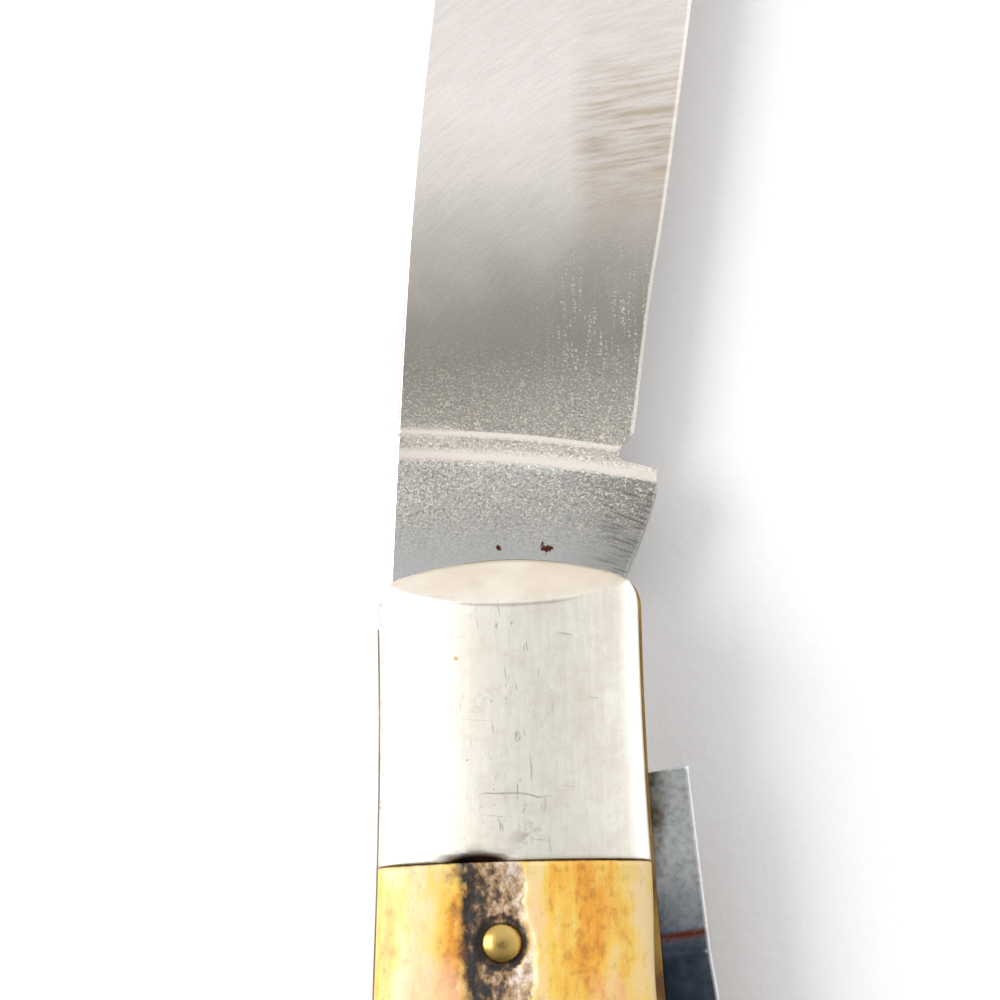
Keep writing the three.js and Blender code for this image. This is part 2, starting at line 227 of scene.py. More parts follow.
def segments_of(lines, closed):
    pairs = []
    for line in lines:
        ends = line[1:] + line[:1] if closed else line[1:]
        pairs += list(zip(line, ends))
    return pairs


def distance_to(segments, x, y):
    """Distance from each point to the nearest of the segments."""
    best = np.full(len(x), 1e9)
    for (ax, ay), (bx, by) in segments:
        dx, dy = bx - ax, by - ay
        t = np.clip(((x - ax) * dx + (y - ay) * dy) / max(dx * dx + dy * dy, 1e-12), 0, 1)
        best = np.minimum(best, np.hypot(x - ax - t * dx, y - ay - t * dy))
    return best


def inside(outline, x, y):
    odd = np.zeros(len(x), bool)
    for (ax, ay), (bx, by) in segments_of([outline], True):
        if ay == by:
            continue
        crosses = (ay > y) != (by > y)
        odd ^= crosses & (x < (bx - ax) * (y - ay) / (by - ay) + ax)
    return odd


def clear_of_edge(line, outline, gap):
    """The points of a line that lie inside an outline and clear of it."""
    x, y = np.array(line).T
    keep = inside(outline, x, y) & (distance_to(segments_of([outline], True), x, y) > gap)
    return [p for p, ok in zip(line, keep) if ok]


def grid(low, high, step):
    """Points of a triangular grid."""
    xs = np.arange(low[0], high[0], step)
    ys = np.arange(low[1], high[1], step * ROW_PITCH)
    x, y = np.meshgrid(xs, ys)
    x = x + (np.arange(len(ys)) % 2)[:, None] * step / 2
    return x.ravel(), y.ravel()


def inset_ring(outline, depth):
    """The points of a counter-clockwise outline, moved inwards by depth."""
    p = np.array(outline)
    along = np.roll(p, -1, 0) - np.roll(p, 1, 0)
    length = np.hypot(along[:, 0], along[:, 1])[:, None]
    ring = p + np.stack([-along[:, 1], along[:, 0]], 1) / length * depth
    return ring[:, 0], ring[:, 1]


def densified(outline, step):
    """The outline with its segments cut into pieces no longer than step."""
    points = []
    for a, b in segments_of([outline], True):
        count = max(1, math.ceil(math.dist(a, b) / step))
        dx, dy = b[0] - a[0], b[1] - a[1]
        points += [(a[0] + dx * i / count, a[1] + dy * i / count) for i in range(count)]
    return points


class Sheet:
    """A triangulated outline, from which closed plates are made.

    Fields are grids of (low corner, high corner, step), creases are lines that faces don't cross, and
    rings are depths at which the outline is repeated inwards.
    """

    def __init__(self, outline, fields, holes=(), creases=(), rings=()):
        self.points, self.edges = [], []
        loops = [densified(outline, EDGE_STEP), *[list(h) for h in holes]]
        border = loops[0]
        lines = segments_of(loops, True) + segments_of(creases, False)
        for line in loops:
            self.join(line, True)
        for line in creases:
            self.join(line, False)
        for low, high, step in fields:
            clearance = max(step * GRID_CLEARANCE, max(rings, default=0) * RING_CLEARANCE[1])
            self.scatter(grid(low, high, step), border, lines, clearance)
        for depth in rings:
            self.scatter(inset_ring(border, depth), border, lines, depth * RING_CLEARANCE[0])
        self.fill(loops)
        self.x, self.y = self.points[:, 0], self.points[:, 1]
        self.depth = distance_to(segments_of(loops[:1], True), self.x, self.y)

    def join(self, line, closed):
        start, n = len(self.points), len(line)
        self.points += line
        self.edges += [(start + i, start + (i + 1) % n) for i in range(n if closed else n - 1)]

    def scatter(self, points, border, lines, clearance):
        x, y = points
        keep = inside(border, x, y)
        x, y = x[keep], y[keep]
        clear = distance_to(lines, x, y) > clearance
        self.points += list(zip(x[clear], y[clear]))

    def fill(self, loops):
        """Triangulates the points, and keeps the faces inside the outline and outside its holes."""
        found = delaunay_2d_cdt([Vector(p) for p in self.points], self.edges, [], 1, 1e-7)
        self.points = np.array([tuple(v) for v in found[0]])
        faces = np.array([tuple(f) for f in found[2]])
        middle = self.points[faces].mean(1)
        solid = inside(loops[0], *middle.T)
        for hole in loops[1:]:
            solid &= ~inside(hole, *middle.T)
        self.faces = [self.facing_up([int(i) for i in f]) for f in faces[solid]]

    def facing_up(self, face):
        a, b, c = (self.points[i] for i in face)
        turn = (b[0] - a[0]) * (c[1] - a[1]) - (b[1] - a[1]) * (c[0] - a[0])
        return tuple(face if turn > 0 else face[::-1])


def new_object(name, verts, faces, attributes=None, sharp=SHARP_ANGLE):
    """An object of smooth faces with creases where they meet at more than the sharp angle, in degrees."""
    mesh = bpy.data.meshes.new(name)
    mesh.from_pydata([tuple(v) for v in verts * MM], [], faces)
    mesh.validate()
    mesh.shade_smooth()
    mesh.set_sharp_from_angle(angle=math.radians(sharp))
    for key, values in (attributes or {}).items():
        layer = mesh.attributes.new(key, "FLOAT", "POINT")
        layer.data.foreach_set("value", np.asarray(values, np.float32))
    obj = bpy.data.objects.new(name, mesh)
    bpy.context.scene.collection.objects.link(obj)
    return obj


def plate(name, sheet, top, bottom, turn=0.0, attributes=None, sharp=SHARP_ANGLE):
    """A closed solid between two height fields over a sheet, turned about the pivot."""
    n = len(sheet.x)
    c, s = math.cos(turn), math.sin(turn)
    x = c * sheet.x - s * sheet.y
    y = s * sheet.x + c * sheet.y
    verts = np.vstack([np.stack([x, y, top], 1), np.stack([x, y, bottom], 1)])
    sides = dict.fromkeys((a, b) for f in sheet.faces for a, b in zip(f, f[1:] + f[:1]))
    walls = [(a + n, b + n, b, a) for a, b in sides if (b, a) not in sides]
    under = [tuple(i + n for i in f[::-1]) for f in sheet.faces]
    both = {key: np.concatenate([v, v]) for key, v in (attributes or {}).items()}
    return new_object(name, verts, sheet.faces + walls + under, both, sharp)


def turned(name, profile, centre, segments=64):
    """A solid turned about a vertical axis from (radius, z) pairs, which start and end on the axis."""
    rows = profile[1:-1]
    verts = [(*centre, profile[0][1])]
    for radius, z in rows:
        verts += [(x, y, z) for x, y in circle(centre, radius, segments)]
    verts.append((*centre, profile[-1][1]))
    last = len(verts) - 1
    last_row = 1 + (len(rows) - 1) * segments
    faces = []
    for i in range(segments):
        j = (i + 1) % segments
        faces.append((0, 1 + j, 1 + i))
        for a in range(1, last_row, segments):
            b = a + segments
            faces.append((a + i, a + j, b + j, b + i))
        faces.append((last_row + i, last_row + j, last))
    return new_object(name, np.array(verts), faces)


# ---- Shaping ----


def rounding(depth, radius):
    """How far a surface falls near its edge, for an edge rounded to the radius."""
    left = np.clip(radius - depth, 0, radius)
    return radius - np.sqrt(radius * radius - left * left)


def smooth(value, low, high):
    """0 below low, 1 above high, and a smooth step between them."""
    t = np.clip((value - low) / (high - low), 0, 1)
    return t * t * (3 - 2 * t)


def rough(x, y, across, along, seed, octaves=3):
    """Fractal noise from -1 to 1 with different feature sizes across and along the knife."""
    return np.array([
        noise.fractal(Vector((a / across, b / along, seed)), 1.0, 2.0, octaves) for a, b in zip(x, y)])


# ---- Liners and springs ----

pieces = {}


def add(obj, node, body="handle"):
    """Gives a piece its body and the node that it stands for."""
    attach(obj, body)
    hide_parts(node)
    pieces[node] = obj


def flat_plate(name, node, outline, holes, rounded):
    """A flat plate with the thickness of its node and rounded edges."""
    low, high = span(node)
    sheet = Sheet(outline, [], holes, rings=(rounded * 0.35, rounded))
    fall = rounding(sheet.depth, rounded)
    add(plate(name, sheet, high - fall, low + fall), node)


def pin_holes(places, gap):
    return [circle(p, PIN_R + gap, 32) for p in places]


def liners():
    outline = handle_outline(0)
    pins = {
        "mark_liner": (COVER_PIN, SPRING_CENTRE_PIN, SPRING_END_PIN),
        "center_liner": (SPRING_CENTRE_PIN, SPRING_END_PIN),
        "pile_liner": (COVER_PIN, SPRING_CENTRE_PIN, SPRING_END_PIN),
    }
    for node, places in pins.items():
        holes = [circle(PIVOT, PIVOT_PIN_R + 0.02), *pin_holes(places, 0.02)]
        flat_plate(node + "_sheet", node, outline, holes, rounded=0.08)


def springs():
    """Two back springs: a flat face against the tangs, then a waist that thins towards the middle."""
    flats = [(-SPRING_FACE, SPRING_TIP_Y), (-SPRING_FACE, -8), (-5.95, -12), (-6.48, -14.4)]
    waist = [(-6.48, -19.6), (-7.6, -25), (-7.6, -35), (-6.5, -43), (-6.5, -50), (-7.4, -58), (-7.2, -70),
             (-5.6, -79), (-2.2, -85.6), (1.6, -89.8)]
    inner = flats + curve(waist, 6)
    tail = [p for p in butt_points(-SPRING_PROUD) if p[0] < 4.5]
    back = side_points(-1, -SPRING_PROUD, BUTT_START_Y, SPRING_TIP_Y)
    holes = pin_holes((SPRING_CENTRE_PIN, SPRING_END_PIN), 0.02)
    for node in ("main_spring", "pen_spring"):
        flat_plate(node + "_bar", node, inner + tail + back, holes, rounded=0.12)


# ---- Bolsters and covers ----

SIDE_DROP = 0.26              # how far a bolster's rolled sides fall below the crown
SIDE_ROLL = 0.7               # width of that roll
BOLSTER_EDGE_R = 0.16
COVER_EDGE_R = 0.3
CRESCENT_HALF = 8.1           # half the width that the crescent bevel is cut over
CRESCENT_STEPS = (0.13, 0.34)  # creases below the crescent, for its soft shadow line
NOTCH_X = -3.8                # worn notch in the pile bolster's rear edge
NOTCH_HALF = 1.9
NOTCH_SPAN = (10.0, 10.72)    # from where it starts to fall away to the edge
NOTCH_DEPTH = 0.75
LEAST_HEIGHT = (0.1, 0.25)    # of a bolster and of a cover, above the liner
FRONT_GAP = 0.40              # how far a cover stands back from its liner on the blades' side
PIN_SEATS = {COVER_PIN: 2.3, SPRING_CENTRE_PIN: 1.9, SPRING_END_PIN: 2.3}
SEAT_EDGE = 0.12
SEAT_SLOPE = 1.4


def crown_height(x, y):
    """Height of the crown above the liner, an ellipse across the handle that closes round the butt."""
    dx = np.abs(x - CENTRE_X)
    rho = dx / half_width(y)
    past = np.clip((BUTT_START_Y - y) / BUTT_LENGTH, 0, None)
    at_butt = ((dx / half_width(BUTT_START_Y)) ** BUTT_POWER + past**BUTT_POWER) ** (1 / BUTT_POWER)
    rho = np.clip(np.where(past > 0, at_butt, rho), 0, 1)
    return CROWN_SIDE + (CROWN - CROWN_SIDE) * np.sqrt(1 - (CROWN_SHARE * rho) ** 2)


def bevel_height(y):
    front = FRONT_REACH - COVER_INSET
    return BEVEL_LIP + (front - y) * (CROWN - BEVEL_LIP) / BEVEL_RUN


def crescent_line():
    """Where the crescent bevel meets the crown."""
    line = []
    for x in np.linspace(-CRESCENT_HALF, CRESCENT_HALF, 61) + CENTRE_X:
        y = FRONT_REACH - 1.0
        for _ in range(20):
            h = float(crown_height(np.array([x]), np.array([y]))[0])
            y = FRONT_REACH - COVER_INSET - (h - BEVEL_LIP) * BEVEL_RUN / (CROWN - BEVEL_LIP)
        line.append((x, y))
    return line


def cover_outline(y_cut, is_bolster):
    """The handle's outline on one side of the bolster's joint, drawn in on the side the blades fold into."""
    outline = clipped(handle_outline(FLUSH), y_cut, is_bolster)
    inset = COVER_INSET - FLUSH
    return [(x - inset * float(smooth(x, CENTRE_X, CENTRE_X + 7)), y) for x, y in outline]


def outer_face(node, side, height):
    """Top and bottom of a bolster or cover that stands on its liner, from its height at each point."""
    low, high = span(node)
    if side > 0:
        return low + height, np.full_like(height, low)
    return np.full_like(height, high), high - height


def bolster(name, node, side, notch_depth):
    """side is +1 for the pile side, whose crown faces up, and -1 for the mark side."""
    outline = cover_outline(BOLSTER_END_Y + JOINT_GAP / 2, True)
    arc = clear_of_edge(crescent_line(), outline, 0.12)
    below_arc = [clear_of_edge([(x, y - d) for x, y in arc], outline, 0.12) for d in CRESCENT_STEPS]
    field = ((-12, -12), (10, 12), 0.42)
    pin_hole = circle(PIVOT, PIVOT_PIN_R + 0.004)
    sheet = Sheet(outline, [field], [pin_hole], [arc, *below_arc], rings=(0.04, 0.12, 0.26, 0.42, 0.56))
    x, y = sheet.x, sheet.y
    crown, bevel = crown_height(x, y), bevel_height(y)
    from_side = half_width(y) - np.abs(x - CENTRE_X)
    height = np.minimum(crown, bevel) - rounding(sheet.depth, BOLSTER_EDGE_R)
    height -= SIDE_DROP * np.clip(1 - from_side / SIDE_ROLL, 0, 1)
    fall = smooth(-y, NOTCH_SPAN[0] + 0.12 * np.sin(x * 2.1), NOTCH_SPAN[1])
    notch = notch_depth * np.exp(-((x - NOTCH_X) / NOTCH_HALF) ** 4) * fall
    top, bottom = outer_face(node, side, np.maximum(height - notch, LEAST_HEIGHT[0]))
    below = bevel - crown
    # painted shade: the notch is darkened for its smudges and the shade in its hollow, and shadow_line paints
    # a soft shadow just below the crescent
    shadow_line = smooth(0.30 - below, 0, 0.16) * smooth(below, 0.0, 0.10)
    grime_and_shade = notch + 0.17 * shadow_line * smooth(5.5 - np.abs(x + 1.0), 0, 3)
    looks = {"grime_and_shade": grime_and_shade, "facet": smooth(-below, -0.02, 0.03), "from_side": from_side}
    add(plate(name, sheet, top, bottom, attributes=looks), node)


def pivot_pin():
    """Its ends are ground flush with the bolsters' crowns, so only a hairline shows."""
    low, high = span("mark_bolster")[0], span("pile_bolster")[1]
    sheet = Sheet(circle(PIVOT, PIVOT_PIN_R), [((-2, -2), (2, 2), 0.4)])
    fall = CROWN - crown_height(sheet.x, sheet.y)
    looks = {"from_side": half_width(sheet.y) - np.abs(sheet.x - CENTRE_X)}
    pin = plate("pivot_pin_ground", sheet, high - fall, low + fall, attributes=looks)
    add(pin, "pivot_pin")


# ---- Stag covers ----

# A strip of bark: its place across the handle from the centreline, half its width, its depth, where it
# starts and ends along the handle, and its lean across for each mm along.
Groove = namedtuple("Groove", "place half depth start end lean")

PILE_GROOVES = [
    Groove(place=-2.6, half=2.1, depth=0.55, start=0, end=-32, lean=0.06),
    Groove(place=1.2, half=1.5, depth=0.40, start=-24, end=-52, lean=-0.03),
    Groove(place=4.6, half=1.7, depth=0.50, start=-33, end=-66, lean=0.03),
    Groove(place=-5.2, half=1.6, depth=0.45, start=-30, end=-60, lean=0.02),
    Groove(place=-1.9, half=2.2, depth=0.55, start=-47, end=-82, lean=0.05),
    Groove(place=6.2, half=1.4, depth=0.40, start=-58, end=-86, lean=-0.02),
    Groove(place=2.2, half=1.8, depth=0.50, start=-68, end=-94, lean=-0.03),
    Groove(place=-6.4, half=1.3, depth=0.40, start=-68, end=-90, lean=0.01),
]
MARK_GROOVES = [
    Groove(place=1.9, half=2.0, depth=0.50, start=0, end=-28, lean=-0.04),
    Groove(place=-4.4, half=1.7, depth=0.50, start=-16, end=-50, lean=0.03),
    Groove(place=2.2, half=2.2, depth=0.55, start=-34, end=-70, lean=0.03),
    Groove(place=6.3, half=1.4, depth=0.40, start=-24, end=-58, lean=0.0),
    Groove(place=-1.9, half=2.1, depth=0.55, start=-56, end=-92, lean=-0.04),
    Groove(place=5.4, half=1.5, depth=0.45, start=-66, end=-90, lean=0.02),
]
DEEPEST_GROOVE = 0.55


def bark(x, y, grooves, seed):
    """How deep each point lies in the bark, its place across a groove, and how close it is to one."""
    total = np.zeros(len(x))
    across = np.zeros(len(x))
    halo = np.zeros(len(x))
    ragged = rough(x, y, 0.8, 2.2, seed)
    wander = rough(np.zeros(len(x)), y, 1, 9, seed + 3, 2)
    for g in grooves:
        middle = CENTRE_X + g.place + g.lean * (g.start - y) + 0.4 * wander
        fade = smooth(g.start + 4 - y, 0, 7) * smooth(y - g.end + 4, 0, 9)
        place_in = (x - middle) / (g.half * (0.8 + 0.35 * fade))
        off = np.abs(place_in) + 0.42 * ragged
        this = np.clip(1 - off * off, 0, 1) ** 0.7 * fade * g.depth / DEEPEST_GROOVE
        across = np.where(this > total, np.clip(place_in, -1, 1), across)
        total = np.maximum(total, this)
        halo = np.maximum(halo, smooth(2.0 - off, 0, 1.2) * fade)
    return total, across, halo


def amber(x, y, seed, halo):
    """How deeply coloured the horn is, from 0 for cream to 1 for dark brown, in streaks along the handle."""
    streaks = 0.20 + 0.30 * rough(x, y, 1.9, 26, seed) + 0.14 * rough(x, y, 0.8, 9, seed + 5)
    return streaks + 0.34 * halo


def streak(x, y, place, width, start, end):
    """A coloured streak along the handle, 1 at its middle."""
    middle = place + 0.35 * np.sin(y * 0.5 + place)
    ends = smooth(y, end - 2, end + 2) * smooth(-y, -start - 2, -start + 2)
    return np.exp(-((x - middle) / width) ** 2) * ends


def pile_tone(x, y, seed, halo):
    """The pile cover's colours: cream, orange and amber streaks by the bolster, then the usual ones."""
    near = smooth(y, -26, -19)
    front = 0.06 + 0.08 * rough(x, y, 1.2, 9, seed + 11)
    front += 0.42 * streak(x, y, -5.4, 1.1, -12, -40) + 0.26 * streak(x, y, -10.2, 0.7, -12, -40)
    amber_ridge = smooth(x, 0.3, 1.4) * smooth(7.0 - x, 0, 1.4)
    front += (0.22 + 0.12 * rough(x, y, 0.9, 3, seed + 12)) * amber_ridge
    front += 0.16 * streak(x, y, 3.2, 1.0, -11, -40)
    return near * front + (1 - near) * amber(x, y, seed, halo)


def relief(x, y, depth, groove, seed):
    """How far the horn lies below its crown: bark grooves with pits, slow swells, and pores."""
    pits = rough(x, y, 0.35, 0.6, seed + 7, 2)
    swells = rough(x, y, 2.6, 16, seed + 9, 2)
    near_edge = smooth(depth, 0.1, 1.6)
    return near_edge * (groove * (0.5 + 0.16 * pits) + 0.10 * (1 + swells) / 2 + 0.012 * (1 + pits))


def cover(name, node, side, grooves, fields, seed, tone):
    outline = cover_outline(BOLSTER_END_Y - JOINT_GAP / 2, False)
    outline = [(x - FRONT_GAP * float(smooth(-y, 10.7, 20)) * (x > CENTRE_X), y) for x, y in outline]
    sheet = Sheet(outline, fields, pin_holes(PIN_SEATS, 0.03), rings=(0.05, 0.14, 0.3))
    x, y = sheet.x, sheet.y
    groove, across, halo = bark(x, y, grooves, seed)
    height = crown_height(x, y) - rounding(sheet.depth, COVER_EDGE_R)
    height -= relief(x, y, sheet.depth, groove, seed)
    for pin, seat in PIN_SEATS.items():
        from_head = np.hypot(x - pin[0], y - pin[1]) - HEAD_R
        height = np.minimum(height, seat + np.clip(from_head - SEAT_EDGE, 0, None) * SEAT_SLOPE)
    top, bottom = outer_face(node, side, np.maximum(height, LEAST_HEIGHT[1]))
    around = np.min([np.hypot(x - p[0], y - p[1]) for p in PIN_SEATS], 0) - HEAD_R
    # painted shadow: a dark ring round each pin head, added to the bark and a dark joint line by the bolster
    bark_and_pin_shadow = np.maximum(groove, 0.9 * smooth(0.5 - around, 0, 0.5))
    bark_and_pin_shadow = np.maximum(bark_and_pin_shadow, 0.40 * smooth(y, BOLSTER_END_Y - 0.16, BOLSTER_END_Y - 0.06))
    # painted shadow: the ring round each pin head takes the dark side of the groove colours
    across = np.where(around < 0.4, -0.62, across)
    looks = {"bark": bark_and_pin_shadow, "across": across, "amber": tone(x, y, seed, halo)}
    add(plate(name, sheet, top, bottom, attributes=looks, sharp=60), node)


# ---- Domed pins ----

HEAD_FOOT = 0.06              # height of a head's rim above its seat
HEAD_RISE = 0.68              # from the rim to the top
HEAD_SPREAD = 0.92            # the rim's radius, as a share of the head's


def half_pin(seat, side):
    """Profile of the shaft's end and the head, from the shaft to the head's top."""
    angles = np.linspace(0, math.pi / 2, 14)[:-1]
    rim = seat + side * HEAD_FOOT
    dome = [(HEAD_R * HEAD_SPREAD * math.cos(t), seat + side * (HEAD_FOOT + HEAD_RISE * math.sin(t)))
            for t in angles]
    return [(PIN_R, rim), *dome, (0, seat + side * (HEAD_FOOT + HEAD_RISE))]


def seat_height(centre, side):
    """Height of a pin's seat in the pile cover or the mark cover."""
    liner = span("pile_liner")[1] if side > 0 else span("mark_liner")[0]
    return liner + side * PIN_SEATS[centre]


def through_pin(name, node, centre):
    profile = half_pin(seat_height(centre, -1), -1)[::-1] + half_pin(seat_height(centre, 1), 1)
    add(turned(name, profile, centre), node)


def cover_pin(name, node, side):
    inner = span("pile_liner")[0] if side > 0 else span("mark_liner")[1]
    profile = [(0, inner), (PIN_R, inner), *half_pin(seat_height(COVER_PIN, side), side)]
    add(turned(name, profile[::side], COVER_PIN), node)


# ---- Blades, drawn open ----

EDGE_HALF = 0.012             # half the thickness left at the very edge
BEVEL_HALF = 0.15             # half the thickness where the sharpening bevel begins
BEVEL_WIDTH = 0.24
SWEDGE_HALF = 0.30            # half the thickness of the clip's back
TIP_TAPER = 11.0              # length over which the point thins
TANG_CORNER_R = 0.9
GRIND_STEPS = (0, 0.12, 0.25, 0.38, 0.5, 0.78, 0.89, 1)  # creases along the plunge, as shares of its run

MAIN = {
    "node": "main_blade", "tang": MAIN_TANG, "turn": 0.0, "shoulder_x": -9.6,
    "front": [(6.2, 6.6), (6.66, 9.4), (7.68, 11.75), (8.56, 14.1), (8.86, 15.15), (8.98, 16.7)],
    "notch": [(8.98, 16.7), (8.2, 17.0), (6.68, 17.4), (6.45, 17.8), (6.56, 18.3), (7.1, 18.9)],
    "edge": [(7.48, 19.4), (8.83, 28.6), (10.1, 35.6), (12.3, 49.7), (13.6, 59), (14.0, 67), (13.2, 76),
             (9.8, 86.4)],
    "back": [(-9.6, 5.72), (-8.62, 19.8), (-7.31, 35.9), (-5.56, 50), (-3.9, 60.5)],
    "clip": [(-3.9, 60.5), (2.2, 69.8), (6.9, 79), (9.8, 86.4)],
    "plunge": [(-9.0, 17.65), (-4.77, 17.42), (-0.35, 17.07), (3.72, 16.54), (7.2, 15.95), (9.2, 15.5)],
    "plunge_run": 2.3, "spine_half": (1.02, 0.80), "swedge": 1.5,
    "nick": {"centre": (-4.1, 44.5), "lean": 7.5, "side": -1},
}
PEN = {
    "node": "pen_blade", "tang": PEN_TANG, "turn": -SWING, "shoulder_x": -9.68,
    "front": [(6.1, 6.6), (6.9, 9.0), (7.45, 10.3), (7.5, 10.95)],
    "notch": [(7.5, 10.95), (7.2, 11.4), (5.6, 13.2), (4.1, 16.0), (3.0, 16.6), (2.9, 17.2), (3.3, 17.6)],
    "edge": [(3.5, 17.9), (4.3, 28), (5.1, 40), (5.3, 50), (4.6, 58), (2.2, 64.6)],
    "back": [(-9.68, 5.72), (-8.92, 17.4), (-8.82, 21.6), (-8.4, 30), (-7.5, 42), (-5.6, 52.5), (-2.2, 60),
             (2.2, 64.6)],
    "clip": None,
    "plunge": [(-9.4, 16.9), (-5, 16.75), (0, 16.4), (4.5, 16.0)],
    "plunge_run": 1.5, "spine_half": (0.88, 0.70), "swedge": 0.0,
    "nick": {"centre": (-5.9, 36.5), "lean": 4.0, "side": 1},
}

NICK_LENGTH = 17.0
NICK_WIDTH = 1.9
NICK_DEPTH = 0.42
NICK_FOOT = 0.10              # width of the steep side of the groove


def tang_corners():
    """The tang's corners: from its open flat to its half-stop flat, and the closed flat's two ends."""
    def at(angle, along):
        c, s = math.cos(angle), math.sin(angle)
        return (TANG_FLAT * c - along * s, TANG_FLAT * s + along * c)

    closed = SWING - math.pi
    half_stop = closed / 2 - math.pi / 2
    open_end = (-TANG_FLAT, at(half_stop, -TANG_FLAT)[1])
    return open_end, at(closed, 0.4 - TANG_FLAT), at(closed, TANG_FLAT - 1.0)


def nick_lines(nick):
    """The straight side of a thumbnail groove, the foot of that side, and its curved side."""
    cx, cy = nick["centre"]
    c, s = math.cos(math.radians(nick["lean"])), math.sin(math.radians(nick["lean"]))
    along = np.linspace(-NICK_LENGTH / 2, NICK_LENGTH / 2, 33)
    arc = NICK_WIDTH * (1 - (2 * along / NICK_LENGTH) ** 2)

    def line(us, vs):
        return [(cx + u * s + v * c, cy + u * c - v * s) for u, v in zip(us, vs)]

    straight = line(along, np.full(33, -0.02))
    foot = line(along[2:-2], np.full(29, NICK_FOOT))
    return [straight, foot, line(along[1:-1], arc[1:-1])]


def nick_depth(nick, x, y):
    """Depth of a thumbnail groove, deepest at its straight side and running out towards the edge."""
    c, s = math.cos(math.radians(nick["lean"])), math.sin(math.radians(nick["lean"]))
    dx, dy = x - nick["centre"][0], y - nick["centre"][1]
    u, v = dx * s + dy * c, dx * c - dy * s
    reach = NICK_WIDTH * np.clip(1 - (2 * u / NICK_LENGTH) ** 2, 0, 1)
    ramp = np.clip((reach - v) / NICK_WIDTH, 0, 1) * np.clip((v + 0.02) / (NICK_FOOT + 0.02), 0, 1)
    return NICK_DEPTH * ramp * (np.abs(u) < NICK_LENGTH / 2)


def blade_outline(b, edge, spine):
    """The tang, its front and the notch, the edge to the point, and the back to the shoulder."""
    open_flat, half_flat, closed_top = tang_corners()
    shoulder = (-TANG_FLAT, SHOULDER_Y)
    tang = [(b["shoulder_x"], SHOULDER_Y), shoulder,
            *fillet(shoulder, open_flat, half_flat, TANG_CORNER_R),
            *fillet(open_flat, half_flat, closed_top, TANG_CORNER_R), closed_top]
    outline = tang + curve(b["front"], 6) + curve(b["notch"], 5)[1:] + edge + spine[::-1][1:-1]
    return [p for p, q in zip(outline, outline[1:] + outline[:1]) if math.dist(p, q) > 0.02]


def blade_creases(b, outline, edge, clip, plunge_line):
    """The lines that the grinding leaves: the plunge, the sharpening bevel, the groove and the swedge."""
    plunge = [[(x, y + share * b["plunge_run"]) for x, y in plunge_line] for share in GRIND_STEPS]
    lines = [clear_of_edge(line, outline, 0.15) for line in plunge]
    lines += [offset_line(edge, BEVEL_WIDTH)[2:-8], *nick_lines(b["nick"])]
    if b["clip"]:
        lines.append(clear_of_edge(offset_line(clip, b["swedge"]), outline, 0.15))
    return lines


def at_height(line, y):
    """x of a line at each y."""
    return np.interp(y, [p[1] for p in line], [p[0] for p in line])


def ground_half(b, x, y, edge, spine, clip):
    """Half the thickness of the ground blade, which thins from its back to its edge and to its point."""
    spine_x, edge_x = at_height(spine, y), at_height(edge, y)
    width = np.maximum(edge_x - spine_x, 0.05)
    from_edge = np.clip(edge_x - x, 0, None)
    share = np.clip((x - spine_x) / width, 0, 1)
    reach = np.clip((y - 18) / 60, 0, 1)
    to_tip = np.clip((edge[-1][1] - y) / TIP_TAPER, 0, 1)
    spine_half = b["spine_half"][0] + (b["spine_half"][1] - b["spine_half"][0]) * reach
    spine_half = spine_half * (0.22 + 0.78 * to_tip ** 0.6)
    body = spine_half + (np.minimum(BEVEL_HALF, spine_half) - spine_half) * share ** 0.94
    if b["swedge"]:
        to_clip = distance_to(segments_of([clip], False), x, y)
        fall = np.interp(to_clip, [0, b["swedge"]], [1, 0]) * smooth(y, 60, 64)
        body = body - (body - SWEDGE_HALF) * fall
    bevel = EDGE_HALF + (BEVEL_HALF - EDGE_HALF) * np.clip(from_edge / BEVEL_WIDTH, 0, 1)
    return np.where(from_edge < BEVEL_WIDTH, np.minimum(body, bevel), body), from_edge, spine_x


def blade(b):
    edge = curve(b["edge"], 12)
    back = curve(b["back"], 12)
    clip = curve(b["clip"], 12) if b["clip"] else [back[-1]]
    spine = back + clip[1:]
    plunge_line = curve(b["plunge"], 8)
    outline = blade_outline(b, edge, spine)
    creases = blade_creases(b, outline, edge, clip, plunge_line)
    fields = [((-12, -8), (16, 15), 0.9), ((-12, 15), (16, 21), 0.3), ((-12, 21), (16, 90), 0.5)]
    pin_hole = circle(PIVOT, PIVOT_PIN_R + 0.05)
    sheet = Sheet(outline, fields, [pin_hole], creases, rings=(0.04, 0.12, 0.3))
    x, y = sheet.x, sheet.y
    ground, from_edge, spine_x = ground_half(b, x, y, edge, spine, clip)
    past = y - np.interp(x, [p[0] for p in plunge_line], [p[1] for p in plunge_line])
    share = np.clip(past / b["plunge_run"], 0, 1)
    into = 0.52 * smooth(share, 0, 0.5) + 0.14 * share + 0.34 * smooth(share, 0.78, 1)
    half = b["tang"] / 2 * (1 - into) + ground * into
    fall = np.where((from_edge > 1) | (y < 18), rounding(sheet.depth, 0.12), 0)
    half = np.maximum(half - np.minimum(fall, half * 0.5), EDGE_HALF)
    middle = sum(span(b["node"])) / 2
    dip = nick_depth(b["nick"], x, y)
    top = middle + half - (dip if b["nick"]["side"] > 0 else 0)
    bottom = middle - half + (dip if b["nick"]["side"] < 0 else 0)
    # rim marks a strip along the spine that the pen's steel paints as a bright highlight
    rim = smooth(spine_x + 0.22 - x, 0, 0.14)
    looks = {"ground": into, "past": past, "from_edge": np.clip(from_edge, 0, 3), "rim": rim}
    name = b["node"] + "_ground"
    add(plate(name, sheet, top, bottom, b["turn"], looks, sharp=14), b["node"], b["node"])


# ---- Materials ----


